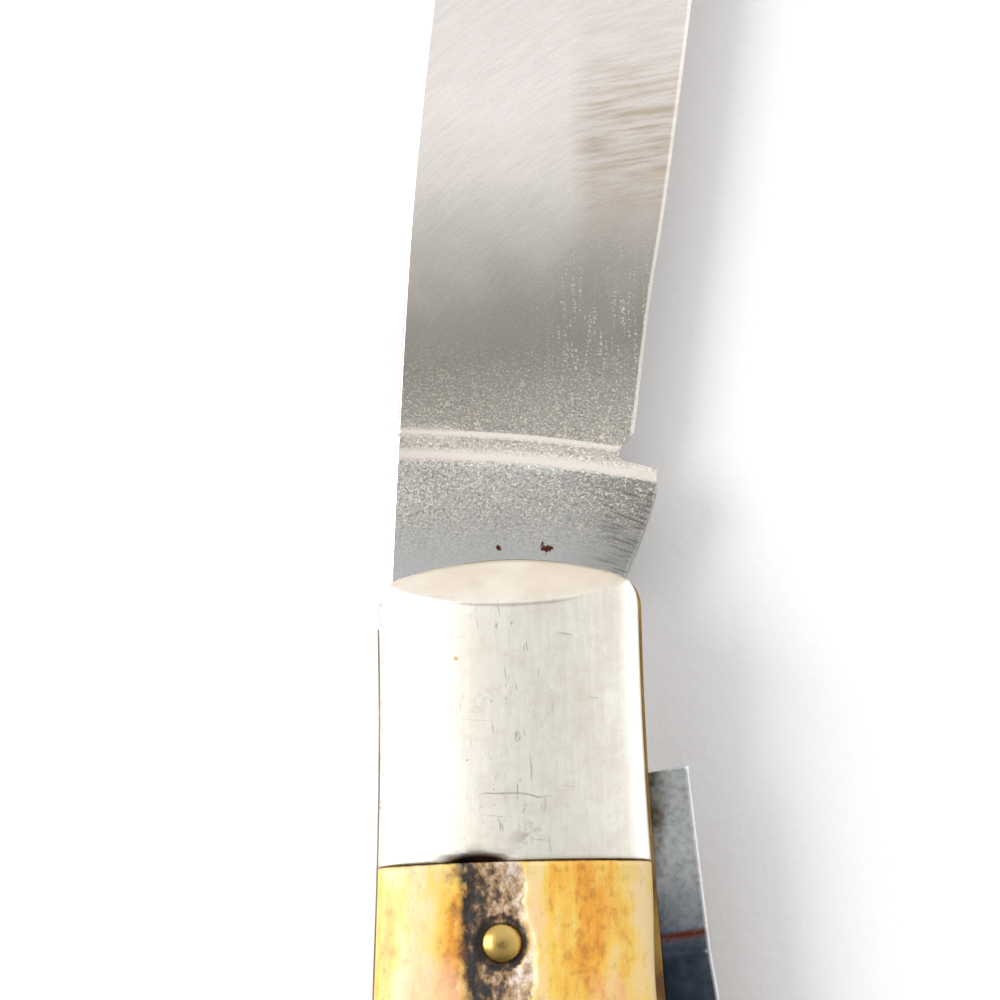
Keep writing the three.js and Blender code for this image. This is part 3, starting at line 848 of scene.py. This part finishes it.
class Nodes:
    """A node tree. Each call adds nodes and returns their output."""

    def __init__(self, tree):
        self.tree = tree

    def put(self, socket, value):
        if isinstance(value, bpy.types.NodeSocket):
            self.tree.links.new(value, socket)
        elif isinstance(value, tuple) and len(value) == 3 and socket.type == "RGBA":
            socket.default_value = (*value, 1)
        else:
            socket.default_value = value

    def node(self, kind, inputs, output=0, **settings):
        added = self.tree.nodes.new("ShaderNode" + kind)
        for key, value in settings.items():
            setattr(added, key, value)
        for key, value in inputs.items():
            self.put(added.inputs[key], value)
        return added.outputs[output]

    def math(self, operation, a, b=0.0, clamp=False):
        return self.node("Math", {0: a, 1: b}, operation=operation, use_clamp=clamp)

    def times(self, first, *others):
        product = first
        for other in others:
            product = self.math("MULTIPLY", product, other)
        return product

    def plus(self, a, b):
        return self.math("ADD", a, b)

    def away(self, value, place):
        """Distance of a value from a place, either way."""
        return self.math("ABSOLUTE", self.math("SUBTRACT", value, place))

    def range(self, value, from_low, from_high, to_low=0.0, to_high=1.0):
        """A straight ramp between two limits, level beyond them."""
        return self.node("MapRange", {"Value": value, "From Min": from_low, "From Max": from_high,
                                      "To Min": to_low, "To Max": to_high})

    def spread(self, value, low, high):
        """A noise's usual values, 0.3 to 0.7, spread from low to high."""
        return self.range(value, 0.3, 0.7, low, high)

    def ramp(self, value, *stops):
        """A ramp through (place, colour or grey) stops."""
        added = self.tree.nodes.new("ShaderNodeValToRGB")
        marks = added.color_ramp.elements
        while len(marks) < len(stops):
            marks.new(0.5)
        for mark, (at, color) in zip(marks, stops):
            mark.position = at
            mark.color = (*color, 1) if isinstance(color, tuple) else (color, color, color, 1)
        self.tree.links.new(value, added.inputs[0])
        return added.outputs[0]

    def mix(self, share, a, b):
        return self.node("Mix", {0: share, 6: a, 7: b}, output=2, data_type="RGBA")

    def tint(self, color, tone, strength, *shares):
        """A colour turned towards a tone where all the shares are 1, by no more than the strength."""
        return self.mix(self.times(*shares, strength), color, tone)


class Paint(Nodes):
    """A material of nodes, whose patterns are in millimetres of the piece itself."""

    def __init__(self, name):
        self.material = bpy.data.materials.new(name)
        self.material.use_nodes = True
        super().__init__(self.material.node_tree)
        self.shader = self.tree.nodes["Principled BSDF"]

    def set(self, **inputs):
        for key, value in inputs.items():
            self.put(self.shader.inputs[key.replace("_", " ")], value)
        return self.material

    def place(self, scale=(1, 1, 1), turn=0.0, shift=(0, 0, 0)):
        """Object coordinates in mm, turned by degrees about the vertical, scaled and shifted."""
        obj = self.node("TexCoord", {}, output="Object")
        metres_to_mm = (1 / MM, 1 / MM, 1 / MM)
        turn_by = (0, 0, math.radians(turn))
        turned_by = self.node("Mapping", {"Vector": obj, "Rotation": turn_by, "Scale": metres_to_mm})
        return self.node("Mapping", {"Vector": turned_by, "Scale": scale, "Location": shift})

    def axis(self, name):
        return self.node("SeparateXYZ", {"Vector": self.place()}, output=name)

    def noise(self, scale, detail=3, roughness=0.5, turn=0.0, shift=(0, 0, 0), distortion=0.0):
        """Noise with a number of features to the mm, the same all round or one for each axis."""
        if not isinstance(scale, tuple):
            return self.noise_on(self.place(shift=shift), scale, detail, roughness)
        return self.noise_on(self.place(scale, turn, shift), 1.0, detail, roughness, distortion)

    def noise_on(self, vector, scale, detail, roughness, distortion=0.0):
        return self.node("TexNoise", {"Vector": vector, "Scale": scale, "Detail": detail,
                                      "Roughness": roughness, "Distortion": distortion})

    def attribute(self, name):
        return self.node("Attribute", {}, output="Fac", attribute_name=name)

    def distance(self, at):
        """Distance in mm from a vertical line through a place."""
        moved = self.place(shift=(-at[0], -at[1], 0))
        flat = self.node("VectorMath", {0: moved, 1: (1, 1, 0)}, operation="MULTIPLY")
        return self.node("VectorMath", {0: flat}, output="Value", operation="LENGTH")

    def spot(self, at, size, raggedness):
        """1 inside a ragged spot of the given radius about a place."""
        edge = self.spread(self.noise(2.6, 4, 0.75), -raggedness, raggedness)
        return self.range(self.plus(self.distance(at), edge), size * 1.1, size * 0.8)

    def smear(self, at, size):
        """Fades from 1 at a place to 0 at a distance."""
        return self.range(self.distance(at), size, 0.0)

    def line_across(self, y, thickness):
        """A slightly wavering line across the knife."""
        waver = self.spread(self.noise((0.35, 0.1, 1), 2, 0.5), -0.3, 0.3)
        off = self.math("ABSOLUTE", self.plus(self.math("SUBTRACT", self.axis("Y"), y), waver))
        return self.range(off, thickness, thickness * 0.3)

    def arcs(self, centre, radial, around):
        """Noise drawn out along circles about a point, like the marks of a polishing wheel."""
        moved = self.place(shift=(-centre[0], -centre[1], 0))
        x = self.node("SeparateXYZ", {"Vector": moved})
        y = self.node("SeparateXYZ", {"Vector": moved}, output="Y")
        radius = self.node("VectorMath", {"Vector": moved}, output="Value", operation="LENGTH")
        angle = self.math("ARCTAN2", y, x)
        polar = {"X": self.times(radius, radial), "Y": self.times(angle, around)}
        return self.noise_on(self.node("CombineXYZ", polar), 1.0, 3, 0.6)

    def bump(self, height, strength, distance_mm, under=None):
        wanted = {"Height": height, "Strength": strength, "Distance": distance_mm * MM}
        if under is not None:
            wanted["Normal"] = under
        return self.node("Bump", wanted)


def face_with_painted_reflection(p, clouds, wheel):
    """The ground face, with a painted reflection: dark by the plunge, standing in for the dark ceiling it
    mirrors, and brighter outwards for the bright room, with wheel marks and strokes by the edge.
    """
    along, across = p.axis("Y"), p.axis("X")
    drift = p.plus(p.spread(clouds, -1.3, 1.3), p.times(across, -0.12))
    # painted reflection: the ramp along the face darkens it by the plunge and lightens it further out,
    # standing in for the dark ceiling and the bright room that the steel mirrors
    color = p.ramp(p.range(p.plus(along, drift), 16.0, 60.0),
                   (0.0, (0.56, 0.54, 0.50)), (0.08, (0.49, 0.47, 0.43)), (0.15, (0.39, 0.37, 0.335)),
                   (0.205, (0.325, 0.31, 0.275)), (0.27, (0.37, 0.355, 0.32)), (0.33, (0.46, 0.44, 0.405)),
                   (0.41, (0.63, 0.60, 0.565)), (0.485, (0.82, 0.78, 0.745)), (0.62, (0.92, 0.87, 0.845)),
                   (0.78, (0.86, 0.82, 0.795)), (1.0, (0.62, 0.60, 0.58)))
    wheel_grey = (0.20, 0.19, 0.175)
    color = p.mix(p.range(wheel, 0.35, 0.65, 0.0, 0.10), color, wheel_grey)
    stroke_brown = (0.52, 0.43, 0.33)
    strokes = p.range(p.noise((0.22, 2.6, 1), 3, 0.6, turn=-8), 0.40, 0.64, 0.25, 0.90)
    start, fade = p.range(along, 32.0, 37.0), p.range(along, 47.0, 41.5, 0.25, 1.0)
    return p.tint(color, stroke_brown, 1.0, p.range(across, 3.5, 5.2), start, fade, strokes)


def tang_color(p, clouds):
    """The flat tang: smoother and lighter below 10 mm along, sanded above, and darker towards its front."""
    along, across = p.axis("Y"), p.axis("X")
    sanded = p.mix(clouds, (0.46, 0.46, 0.445), (0.56, 0.56, 0.54))
    smoother = (0.59, 0.605, 0.605)
    front_grey = (0.25, 0.25, 0.24)
    color = p.mix(p.range(along, 10.0, 13.0), smoother, sanded)
    return p.mix(p.range(across, 1.5, 7.0, 0.0, 0.65), color, front_grey)


def plunge_highlights(p):
    """1 on the plunge's two lips, which get a painted highlight, and little between them."""
    share = p.times(p.attribute("past"), 1 / 3)
    return p.ramp(share, (0.0, 0.0), (0.10, 1.0), (0.20, 1.0), (0.38, 0.1), (0.60, 0.1), (0.69, 1.0),
                  (0.74, 0.8), (0.82, 0.0))


def sand_and_painted_glints(p, color, sandy):
    """Dark dents, and painted glints of the sand grains as light points, thick where the steel is sandy, with
    rows of painted glints up the face.
    """
    along, across = p.axis("Y"), p.axis("X")
    dent, glint_tone, row_glint_tone = (0.20, 0.195, 0.17), (0.94, 0.89, 0.74), (0.88, 0.85, 0.74)
    glints = p.range(p.noise(7.0, 2, 0.6), 0.53, 0.63)
    dents = p.range(p.noise(5.2, 2, 0.6, shift=(7, 3, 0)), 0.50, 0.64)
    color = p.tint(color, dent, 1.0, dents, p.range(sandy, 0, 1, 0.04, 0.66))
    # painted glints: light points standing in for sparkles off the sand grains
    color = p.tint(color, glint_tone, 1.0, glints, p.range(sandy, 0, 1, 0.06, 0.85))
    # painted glints in rows up the face
    rows = p.range(p.noise((4.6, 0.35, 1), 2, 0.5), 0.52, 0.62)
    fade, to_edge = p.range(along, 34.0, 27.0), p.range(across, 0.5, 3.5)
    return p.tint(color, row_glint_tone, 0.8, rows, glints, fade, p.attribute("ground"), to_edge)


def blade_steel():
    """The main blade's steel: a sandy tang with painted glints, painted highlights on the plunge lips and the
    sharpening bevel, painted reflections on the plunge and the polished face, and two rust spots.
    """
    p = Paint("blade_steel")
    ground = p.attribute("ground")
    along, across = p.axis("Y"), p.axis("X")
    clouds = p.noise((0.13, 0.09, 0.2), 4, 0.5)
    wheel = p.arcs((31, -3), 3.6, 20)
    grain = p.noise(6.0, 3, 0.7)
    plunge_reflection_tone, lip_highlight_tone, bevel_highlight_tone = (0.50, 0.46, 0.42), (0.70, 0.645, 0.595), (0.72, 0.68, 0.64)
    stroke_tone, rust_tone = (0.13, 0.12, 0.10), (0.11, 0.03, 0.02)
    either = p.mix(p.math("ROUND", ground), tang_color(p, clouds), face_with_painted_reflection(p, clouds, wheel))
    # painted reflection: the plunge band gets a lighter pinkish beige, standing in for the bright room
    # mirrored in its curve
    color = p.mix(p.ramp(ground, (0.0, 0.0), (0.06, 1.0), (0.92, 1.0), (1.0, 0.0)), either, plunge_reflection_tone)
    lips = plunge_highlights(p)
    sandy = p.times(p.range(along, 10.6, 14.8), p.range(along, 26.0, 18.0), p.math("SUBTRACT", 1.0, lips))
    # painted highlight: a light tone on the plunge's two lips
    color = p.tint(color, lip_highlight_tone, 0.75, lips)
    color = sand_and_painted_glints(p, color, sandy)
    kick = p.times(p.range(across, 3.5, 6.5), p.range(p.attribute("past"), 0.0, -0.8))
    strokes = p.range(p.noise((0.5, 5.5, 1), 2, 0.5, turn=20), 0.50, 0.60)
    color = p.tint(color, stroke_tone, 0.6, strokes, kick)
    rust = p.math("MAXIMUM", p.spot((1.3, 11.3), 0.30, 0.35), p.spot((-1.9, 11.5), 0.16, 0.25))
    color = p.mix(rust, color, rust_tone)
    # painted highlight: a lighter tone along the sharpening bevel
    color = p.tint(color, bevel_highlight_tone, 0.5, p.range(p.attribute("from_edge"), 0.15, 0.28, 1.0, 0.0), ground)
    roughness = p.spread(p.plus(p.times(grain, 0.5), p.times(clouds, 0.5)), 0.20, 0.34)
    normal = p.bump(wheel, 0.12, 0.02)
    normal = p.bump(p.noise((5.0, 0.25, 1), 3, 0.6), 0.08, 0.02, normal)
    normal = p.bump(grain, p.range(sandy, 0, 1, 0.15, 0.75), 0.02, normal)
    return p.set(Base_Color=color, Metallic=1.0, Roughness=roughness, Normal=normal)


def pen_steel():
    """The pen blade's steel: grey at the tang with brown stains, turning blue-black further back and on the
    ground face, and a painted highlight along its spine.
    """
    p = Paint("pen_steel")
    along, across, past = p.axis("Y"), p.axis("X"), p.attribute("past")
    clouds = p.noise((0.30, 0.16, 0.3), 4, 0.6)
    fine = p.noise(2.2, 4, 0.65)
    grey, stain, brown_fleck = (0.43, 0.45, 0.455), (0.085, 0.070, 0.050), (0.34, 0.27, 0.16)
    blued_edge, blued_stain = (0.10, 0.125, 0.16), (0.045, 0.045, 0.045)
    face_dark, face_light, face_tip = (0.008, 0.018, 0.034), (0.056, 0.068, 0.086), (0.30, 0.30, 0.30)
    rust_tone, spine_highlight_tone = (0.12, 0.028, 0.015), (0.80, 0.80, 0.80)
    clean = p.range(p.plus(across, p.spread(clouds, -1.0, 1.0)), 7.2, 8.9)
    clean = p.math("ADD", clean, p.spread(fine, -0.16, 0.16), clamp=True)
    dusk = p.range(p.plus(along, p.spread(clouds, -1.5, 1.5)), -10.0, -15.0)
    tang = p.mix(dusk, p.mix(clean, stain, grey), p.mix(clean, blued_stain, blued_edge))
    flecks = p.range(p.noise((1.4, 0.8, 1), 4, 0.7, turn=28.65), 0.58, 0.66)
    tang = p.tint(tang, brown_fleck, 0.45, flecks)
    face = p.mix(p.range(clouds, 0.4, 0.7), face_dark, face_light)
    face = p.mix(p.range(along, -20.0, -46.0, 0.0, 0.7), face, face_tip)
    color = p.mix(p.attribute("ground"), tang, face)
    rust_line = p.times(p.range(past, 0.55, 0.1), p.range(past, -0.35, -0.05))
    color = p.tint(color, rust_tone, 1.0, rust_line, p.range(fine, 0.3, 0.5))
    # painted highlight along the spine
    color = p.tint(color, spine_highlight_tone, 0.85, p.attribute("rim"))
    return p.set(Base_Color=color, Metallic=0.95, Roughness=p.spread(fine, 0.24, 0.42),
                 Normal=p.bump(fine, 0.15, 0.03))


def spring_steel():
    """Grey steel, lightly lined along its length, with brown patches."""
    p = Paint("spring_steel")
    clouds = p.noise((0.4, 0.12, 0.5), 4, 0.6)
    color = p.mix(p.range(clouds, 0.35, 0.65), (0.20, 0.12, 0.075), (0.45, 0.42, 0.39))
    roughness = p.spread(p.noise(3.0, 3, 0.6), 0.3, 0.5)
    lines = p.noise((0.3, 9, 9), 2, 0.5)
    return p.set(Base_Color=color, Metallic=1.0, Roughness=roughness, Normal=p.bump(lines, 0.12, 0.02))


def scratched(p, color, mottle):
    """Fine scratches and stains where a thumb rubs, smudges and painted shade in the notch, a painted shadow
    line below the crescent, smears, and a long score.
    """
    across = p.axis("X")
    light_mark, mark, deep_mark = (0.36, 0.33, 0.28), (0.30, 0.27, 0.23), (0.26, 0.23, 0.20)
    smear, grime_and_shade = (0.22, 0.20, 0.18), (0.075, 0.045, 0.038)
    handled = p.range(p.away(across, -1.6), 4.2, 1.0)
    cross = p.range(p.noise((0.35, 5.0, 1), 2, 0.4, turn=6.88), 0.73, 0.76)
    color = p.tint(color, light_mark, 0.45, cross)
    upright = p.noise((4.0, 0.45, 1), 3, 0.6, turn=-4.58, shift=(3, 2, 0))
    color = p.tint(color, mark, 0.7, p.range(upright, 0.64, 0.70), handled)
    # the notch's smudges and painted shade, and the painted shadow below the crescent
    color = p.mix(p.range(p.attribute("grime_and_shade"), 0.02, 0.40), color, grime_and_shade)
    worn = p.noise((1.6, 0.5, 1), 5, 0.75, turn=14.32, shift=(4, 11, 0))
    color = p.tint(color, mark, 0.75, p.range(worn, 0.60, 0.68), handled)
    smears = p.math("MAXIMUM", p.smear((-0.2, -8.9), 1.5), p.smear((-3.2, 0.3), 0.9))
    color = p.tint(color, smear, 0.55, smears, p.range(mottle, 0.40, 0.62))
    score = p.line_across(-6.35, 0.08)
    return p.tint(color, deep_mark, 0.6, score, p.range(p.away(across, -1.2), 2.6, 1.6))


def sides_with_highlight_and_chips(p, color):
    """The bolster's rolled sides: a painted highlight that lightens them, a fine painted shade line at their
    foot, and small chips.
    """
    from_side = p.attribute("from_side")
    bright, hem_shade_tone, chip_tone = (0.95, 0.94, 0.89), (0.40, 0.38, 0.34), (0.33, 0.24, 0.17)
    # painted highlight: the rolled sides are lightened towards white
    color = p.mix(p.range(from_side, 1.7, 0.9, 0.0, 0.85), color, bright)
    # painted shade: a fine dark line at the foot of each rolled side
    hem = p.ramp(from_side, (0.14, 0.0), (0.20, 1.0), (0.25, 1.0), (0.33, 0.0))
    color = p.tint(color, hem_shade_tone, 0.38, hem)
    chips = p.noise((2.88, 1.8, 1.8), 4, 0.75, shift=(10.8, 1.8, 0))
    back_side = p.range(p.axis("X"), 0.0, -4.0)
    return p.tint(color, chip_tone, 0.6, p.range(chips, 0.56, 0.62), p.range(from_side, 0.9, 0.6), back_side)


def nickel_silver():
    """Warm white metal, brushed and mottled, dark in its notch from smudges and painted shade, with a painted
    shadow below the crescent, painted highlights on its rolled sides, and a peach painted reflection on the
    crescent bevel.
    """
    p = Paint("nickel_silver")
    brushed = p.noise((3.6, 0.30, 1), 4, 0.65)
    mottle = p.noise((0.8, 0.9, 1), 5, 0.7, distortion=0.6)
    smudge = p.noise((0.22, 0.16, 0.3), 4, 0.6)
    brush_tone, mottle_tone = (0.60, 0.565, 0.485), (0.58, 0.53, 0.44)
    tarnish_tone = (0.55, 0.25, 0.07)
    color = p.mix(p.spread(smudge, 0.0, 1.0), (0.69, 0.66, 0.58), (0.86, 0.845, 0.77))
    color = p.tint(color, brush_tone, 0.26, p.range(brushed, 0.42, 0.62))
    color = p.tint(color, mottle_tone, 0.34, p.range(mottle, 0.45, 0.66))
    color = sides_with_highlight_and_chips(p, scratched(p, color, mottle))
    tarnish = p.math("MAXIMUM", p.spot((-4.9, 3.0), 0.12, 0.12), p.spot((-4.3, -3.9), 0.10, 0.12))
    color = p.tint(color, tarnish_tone, 0.8, tarnish)
    # painted reflection: the crescent bevel is tinted a darker peach, standing in for what its tilted face
    # mirrors
    peach = p.mix(p.range(smudge, 0.35, 0.65), (0.66, 0.575, 0.475), (0.80, 0.725, 0.63))
    color = p.mix(p.attribute("facet"), color, peach)
    normal = p.bump(brushed, 0.08, 0.02)
    normal = p.bump(p.noise(5.0, 3, 0.6), 0.10, 0.01, normal)
    return p.set(Base_Color=color, Metallic=1.0, Roughness=p.spread(smudge, 0.44, 0.36), Normal=normal)


def brass(name, light, dark, roughness):
    p = Paint(name)
    fine = p.noise(4.0, 3, 0.6)
    color = p.mix(p.range(p.noise((0.35, 0.2, 0.6), 4, 0.6), 0.35, 0.65), dark, light)
    return p.set(Base_Color=color, Metallic=1.0, Roughness=p.spread(fine, roughness, roughness + 0.14),
                 Normal=p.bump(fine, 0.12, 0.01))


def bark_color(p, pits):
    """The floor of a groove: black pits, brown between, and chalky grey towards its right bank; painted shade
    darkens the left side of each groove and painted light brightens its right side.
    """
    across = p.attribute("across")
    # painted light and shade: each groove's left side is darkened and its right side lightened
    tone = p.plus(pits, p.range(across, -0.70, 0.9, -0.19, 0.13))
    color = p.ramp(tone, (0.30, (0.018, 0.014, 0.012)), (0.41, (0.085, 0.05, 0.03)),
                   (0.51, (0.30, 0.185, 0.09)), (0.61, (0.46, 0.35, 0.25)), (0.71, (0.60, 0.56, 0.54)))
    bank_tone = (0.36, 0.145, 0.03)
    return p.mix(p.range(across, -0.72, -1.0, 0.0, 0.75), color, bank_tone)


def horn_color(p, fibres):
    """The polished horn between the grooves: cream to amber streaks with brown spots and pink patches."""
    mottle = p.noise((0.75, 0.38, 0.5), 4, 0.6)
    tone = p.plus(p.attribute("amber"), p.spread(mottle, -0.13, 0.13))
    tone = p.plus(tone, p.spread(fibres, -0.06, 0.06))
    color = p.ramp(tone, (0.0, (0.66, 0.50, 0.26)), (0.22, (0.68, 0.455, 0.085)), (0.45, (0.65, 0.30, 0.03)),
                   (0.72, (0.42, 0.13, 0.015)), (1.0, (0.14, 0.045, 0.015)))
    spot_tone, pink = (0.40, 0.15, 0.02), (0.70, 0.44, 0.32)
    spots = p.range(p.noise((1.9, 1.14, 1.9), 3, 0.65, shift=(17.1, 7.6, 0)), 0.51, 0.63)
    color = p.tint(color, spot_tone, 0.55, spots, p.range(tone, 0.16, 0.40))
    patches = p.range(p.noise((0.22, 0.12, 1), 2, 0.5, shift=(5, 3, 0)), 0.55, 0.75)
    near_pin = p.range(p.smear((-7.0, -19.6), 3.2), 0.0, 0.5)
    return p.tint(color, pink, 0.5, p.math("MAXIMUM", patches, near_pin))


def stag():
    """Antler: glossy horn between rough, dark strips of bark."""
    p = Paint("stag")
    fibres = p.noise((4.5, 0.30, 1), 4, 0.6)
    pits = p.noise((1.5, 0.9, 1.5), 4, 0.7)
    # the bark attribute also carries the painted shadow round each pin head
    depth = p.range(p.plus(p.attribute("bark"), p.spread(pits, 0.16, -0.16)), 0.04, 0.60)
    color = p.mix(depth, horn_color(p, fibres), bark_color(p, pits))
    normal = p.bump(fibres, 0.10, 0.03)
    normal = p.bump(pits, p.range(depth, 0.0, 1.0, 0.05, 0.9), 0.12, normal)
    return p.set(Base_Color=color, Roughness=p.range(depth, 0.0, 1.0, 0.30, 0.75), Normal=normal,
                 Subsurface_Weight=0.12, Subsurface_Radius=(1.0, 0.5, 0.2), Subsurface_Scale=0.0012)


def paper():
    p = Paint("paper")
    fibres = p.noise(0.9, 6, 0.6)
    return p.set(Base_Color=(0.84, 0.835, 0.84), Roughness=0.9, Normal=p.bump(fibres, 0.45, 0.15))


# ---- The scene ----

FRAME_PIXELS = 1000
PHOTO_SCALE = 15.0            # pixels to the millimetre at the pivot
CAMERA_AWAY = 430.0
CAMERA_TILT = (1.0, 10.0)     # degrees towards +X and towards -Y from straight overhead
CAMERA_ROLL = 1.4
AIM = (-2.0, 13.35)           # from the pivot to the middle of the view, across and up the image
TABLE_HALF = 1.2              # metres


def link(obj):
    bpy.context.scene.collection.objects.link(obj)
    return obj


def camera():
    lean_x, lean_y = (math.tan(math.radians(angle)) for angle in CAMERA_TILT)
    toward = Vector((lean_x, -lean_y, 1)).normalized()
    flat = Vector((0, 1, 0)).cross(toward).normalized()
    rise = toward.cross(flat)
    roll = math.radians(CAMERA_ROLL)
    right = flat * math.cos(roll) - rise * math.sin(roll)
    up = flat * math.sin(roll) + rise * math.cos(roll)
    pivot_top = Vector((0, 0, span("pile_bolster")[1]))
    data = bpy.data.cameras.new("camera")
    data.lens = data.sensor_width * PHOTO_SCALE * CAMERA_AWAY / FRAME_PIXELS
    data.clip_start, data.clip_end = 0.01, 10
    obj = link(bpy.data.objects.new("camera", data))
    obj.matrix_world = Matrix((right, up, toward)).transposed().to_4x4()
    obj.location = (pivot_top + right * AIM[0] + up * AIM[1] + toward * CAMERA_AWAY) * MM
    bpy.context.scene.camera = obj


def softbox(place, size, power):
    """A large soft light that faces the knife's pivot."""
    data = bpy.data.lights.new("softbox", "AREA")
    data.shape = "RECTANGLE"
    data.size, data.size_y = size
    data.energy = power
    obj = link(bpy.data.objects.new("softbox", data))
    obj.location = place
    obj.rotation_euler = Vector(place).to_track_quat("Z", "Y").to_euler()


def studio():
    """A bright room with a darker ceiling above the table and a dimmer side at -Y."""
    world = bpy.data.worlds.new("studio")
    bpy.context.scene.world = world
    world.use_nodes = True
    nodes = Nodes(world.node_tree)
    toward = nodes.node("TexCoord", {}, output="Generated")
    flat = nodes.node("Mapping", {"Vector": toward, "Scale": (0.8, 1.15, 0), "Location": (0, 0.05, 0)})
    from_zenith = nodes.node("VectorMath", {0: flat}, output="Value", operation="LENGTH")
    walls = nodes.ramp(from_zenith, (0.16, (0.24, 0.24, 0.245)), (0.27, (0.78, 0.76, 0.75)),
                       (0.36, (1.0, 0.98, 0.97)), (0.8, (1.25, 1.25, 1.25)))
    toward_y = nodes.node("SeparateXYZ", {"Vector": toward}, output="Y")
    background = world.node_tree.nodes["Background"]
    nodes.put(background.inputs["Color"], walls)
    nodes.put(background.inputs["Strength"], nodes.range(toward_y, -0.85, -0.15, 0.25, 1.08))


def table():
    mesh = bpy.data.meshes.new("table")
    corners = [(-1, -1), (1, -1), (1, 1), (-1, 1)]
    mesh.from_pydata([(x * TABLE_HALF, y * TABLE_HALF, 0) for x, y in corners], [], [(0, 1, 2, 3)])
    obj = link(bpy.data.objects.new("table", mesh))
    obj.data.materials.append(paper())


# ---- Assembly ----

liners()
springs()
bolster("pile_bolster_domed", "pile_bolster", 1, NOTCH_DEPTH)
bolster("mark_bolster_domed", "mark_bolster", -1, 0.0)
seen_field = ((-13, -24), (11, -10), 0.22)
rear_field = ((-13, -96), (11, -24), 0.36)
whole_field = ((-13, -96), (11, -10), 0.40)
cover("pile_stag", "pile_cover", 1, PILE_GROOVES, [seen_field, rear_field], 4.0, pile_tone)
cover("mark_stag", "mark_cover", -1, MARK_GROOVES, [whole_field], 21.0, amber)
through_pin("spring_center_pin_domed", "spring_center_pin", SPRING_CENTRE_PIN)
through_pin("spring_end_pin_domed", "spring_end_pin", SPRING_END_PIN)
cover_pin("pile_cover_pin_domed", "pile_cover_pin", 1)
cover_pin("mark_cover_pin_domed", "mark_cover_pin", -1)
pivot_pin()
blade(MAIN)
blade(PEN)

looks = {
    "liner_brass": brass("liner_brass", (0.38, 0.24, 0.055), (0.13, 0.065, 0.03), 0.28),
    "pin_brass": brass("pin_brass", (0.52, 0.36, 0.12), (0.36, 0.24, 0.06), 0.19),
    "nickel_silver": nickel_silver(),
    "spring_steel": spring_steel(),
    "blade_steel": blade_steel(),
    "stag": stag(),
}
slot_of = {row["node"]: row["material_slot"] for row in frame["record"]["subparts"]}
for node, piece in pieces.items():
    piece.data.materials.append(looks[slot_of[node]])
pieces["pen_blade"].data.materials[0] = pen_steel()

camera()
studio()
softbox((-0.36, 0.05, 0.25), (0.28, 0.4), 2.1)
table()
bpy.context.scene.view_settings.view_transform = "Standard"
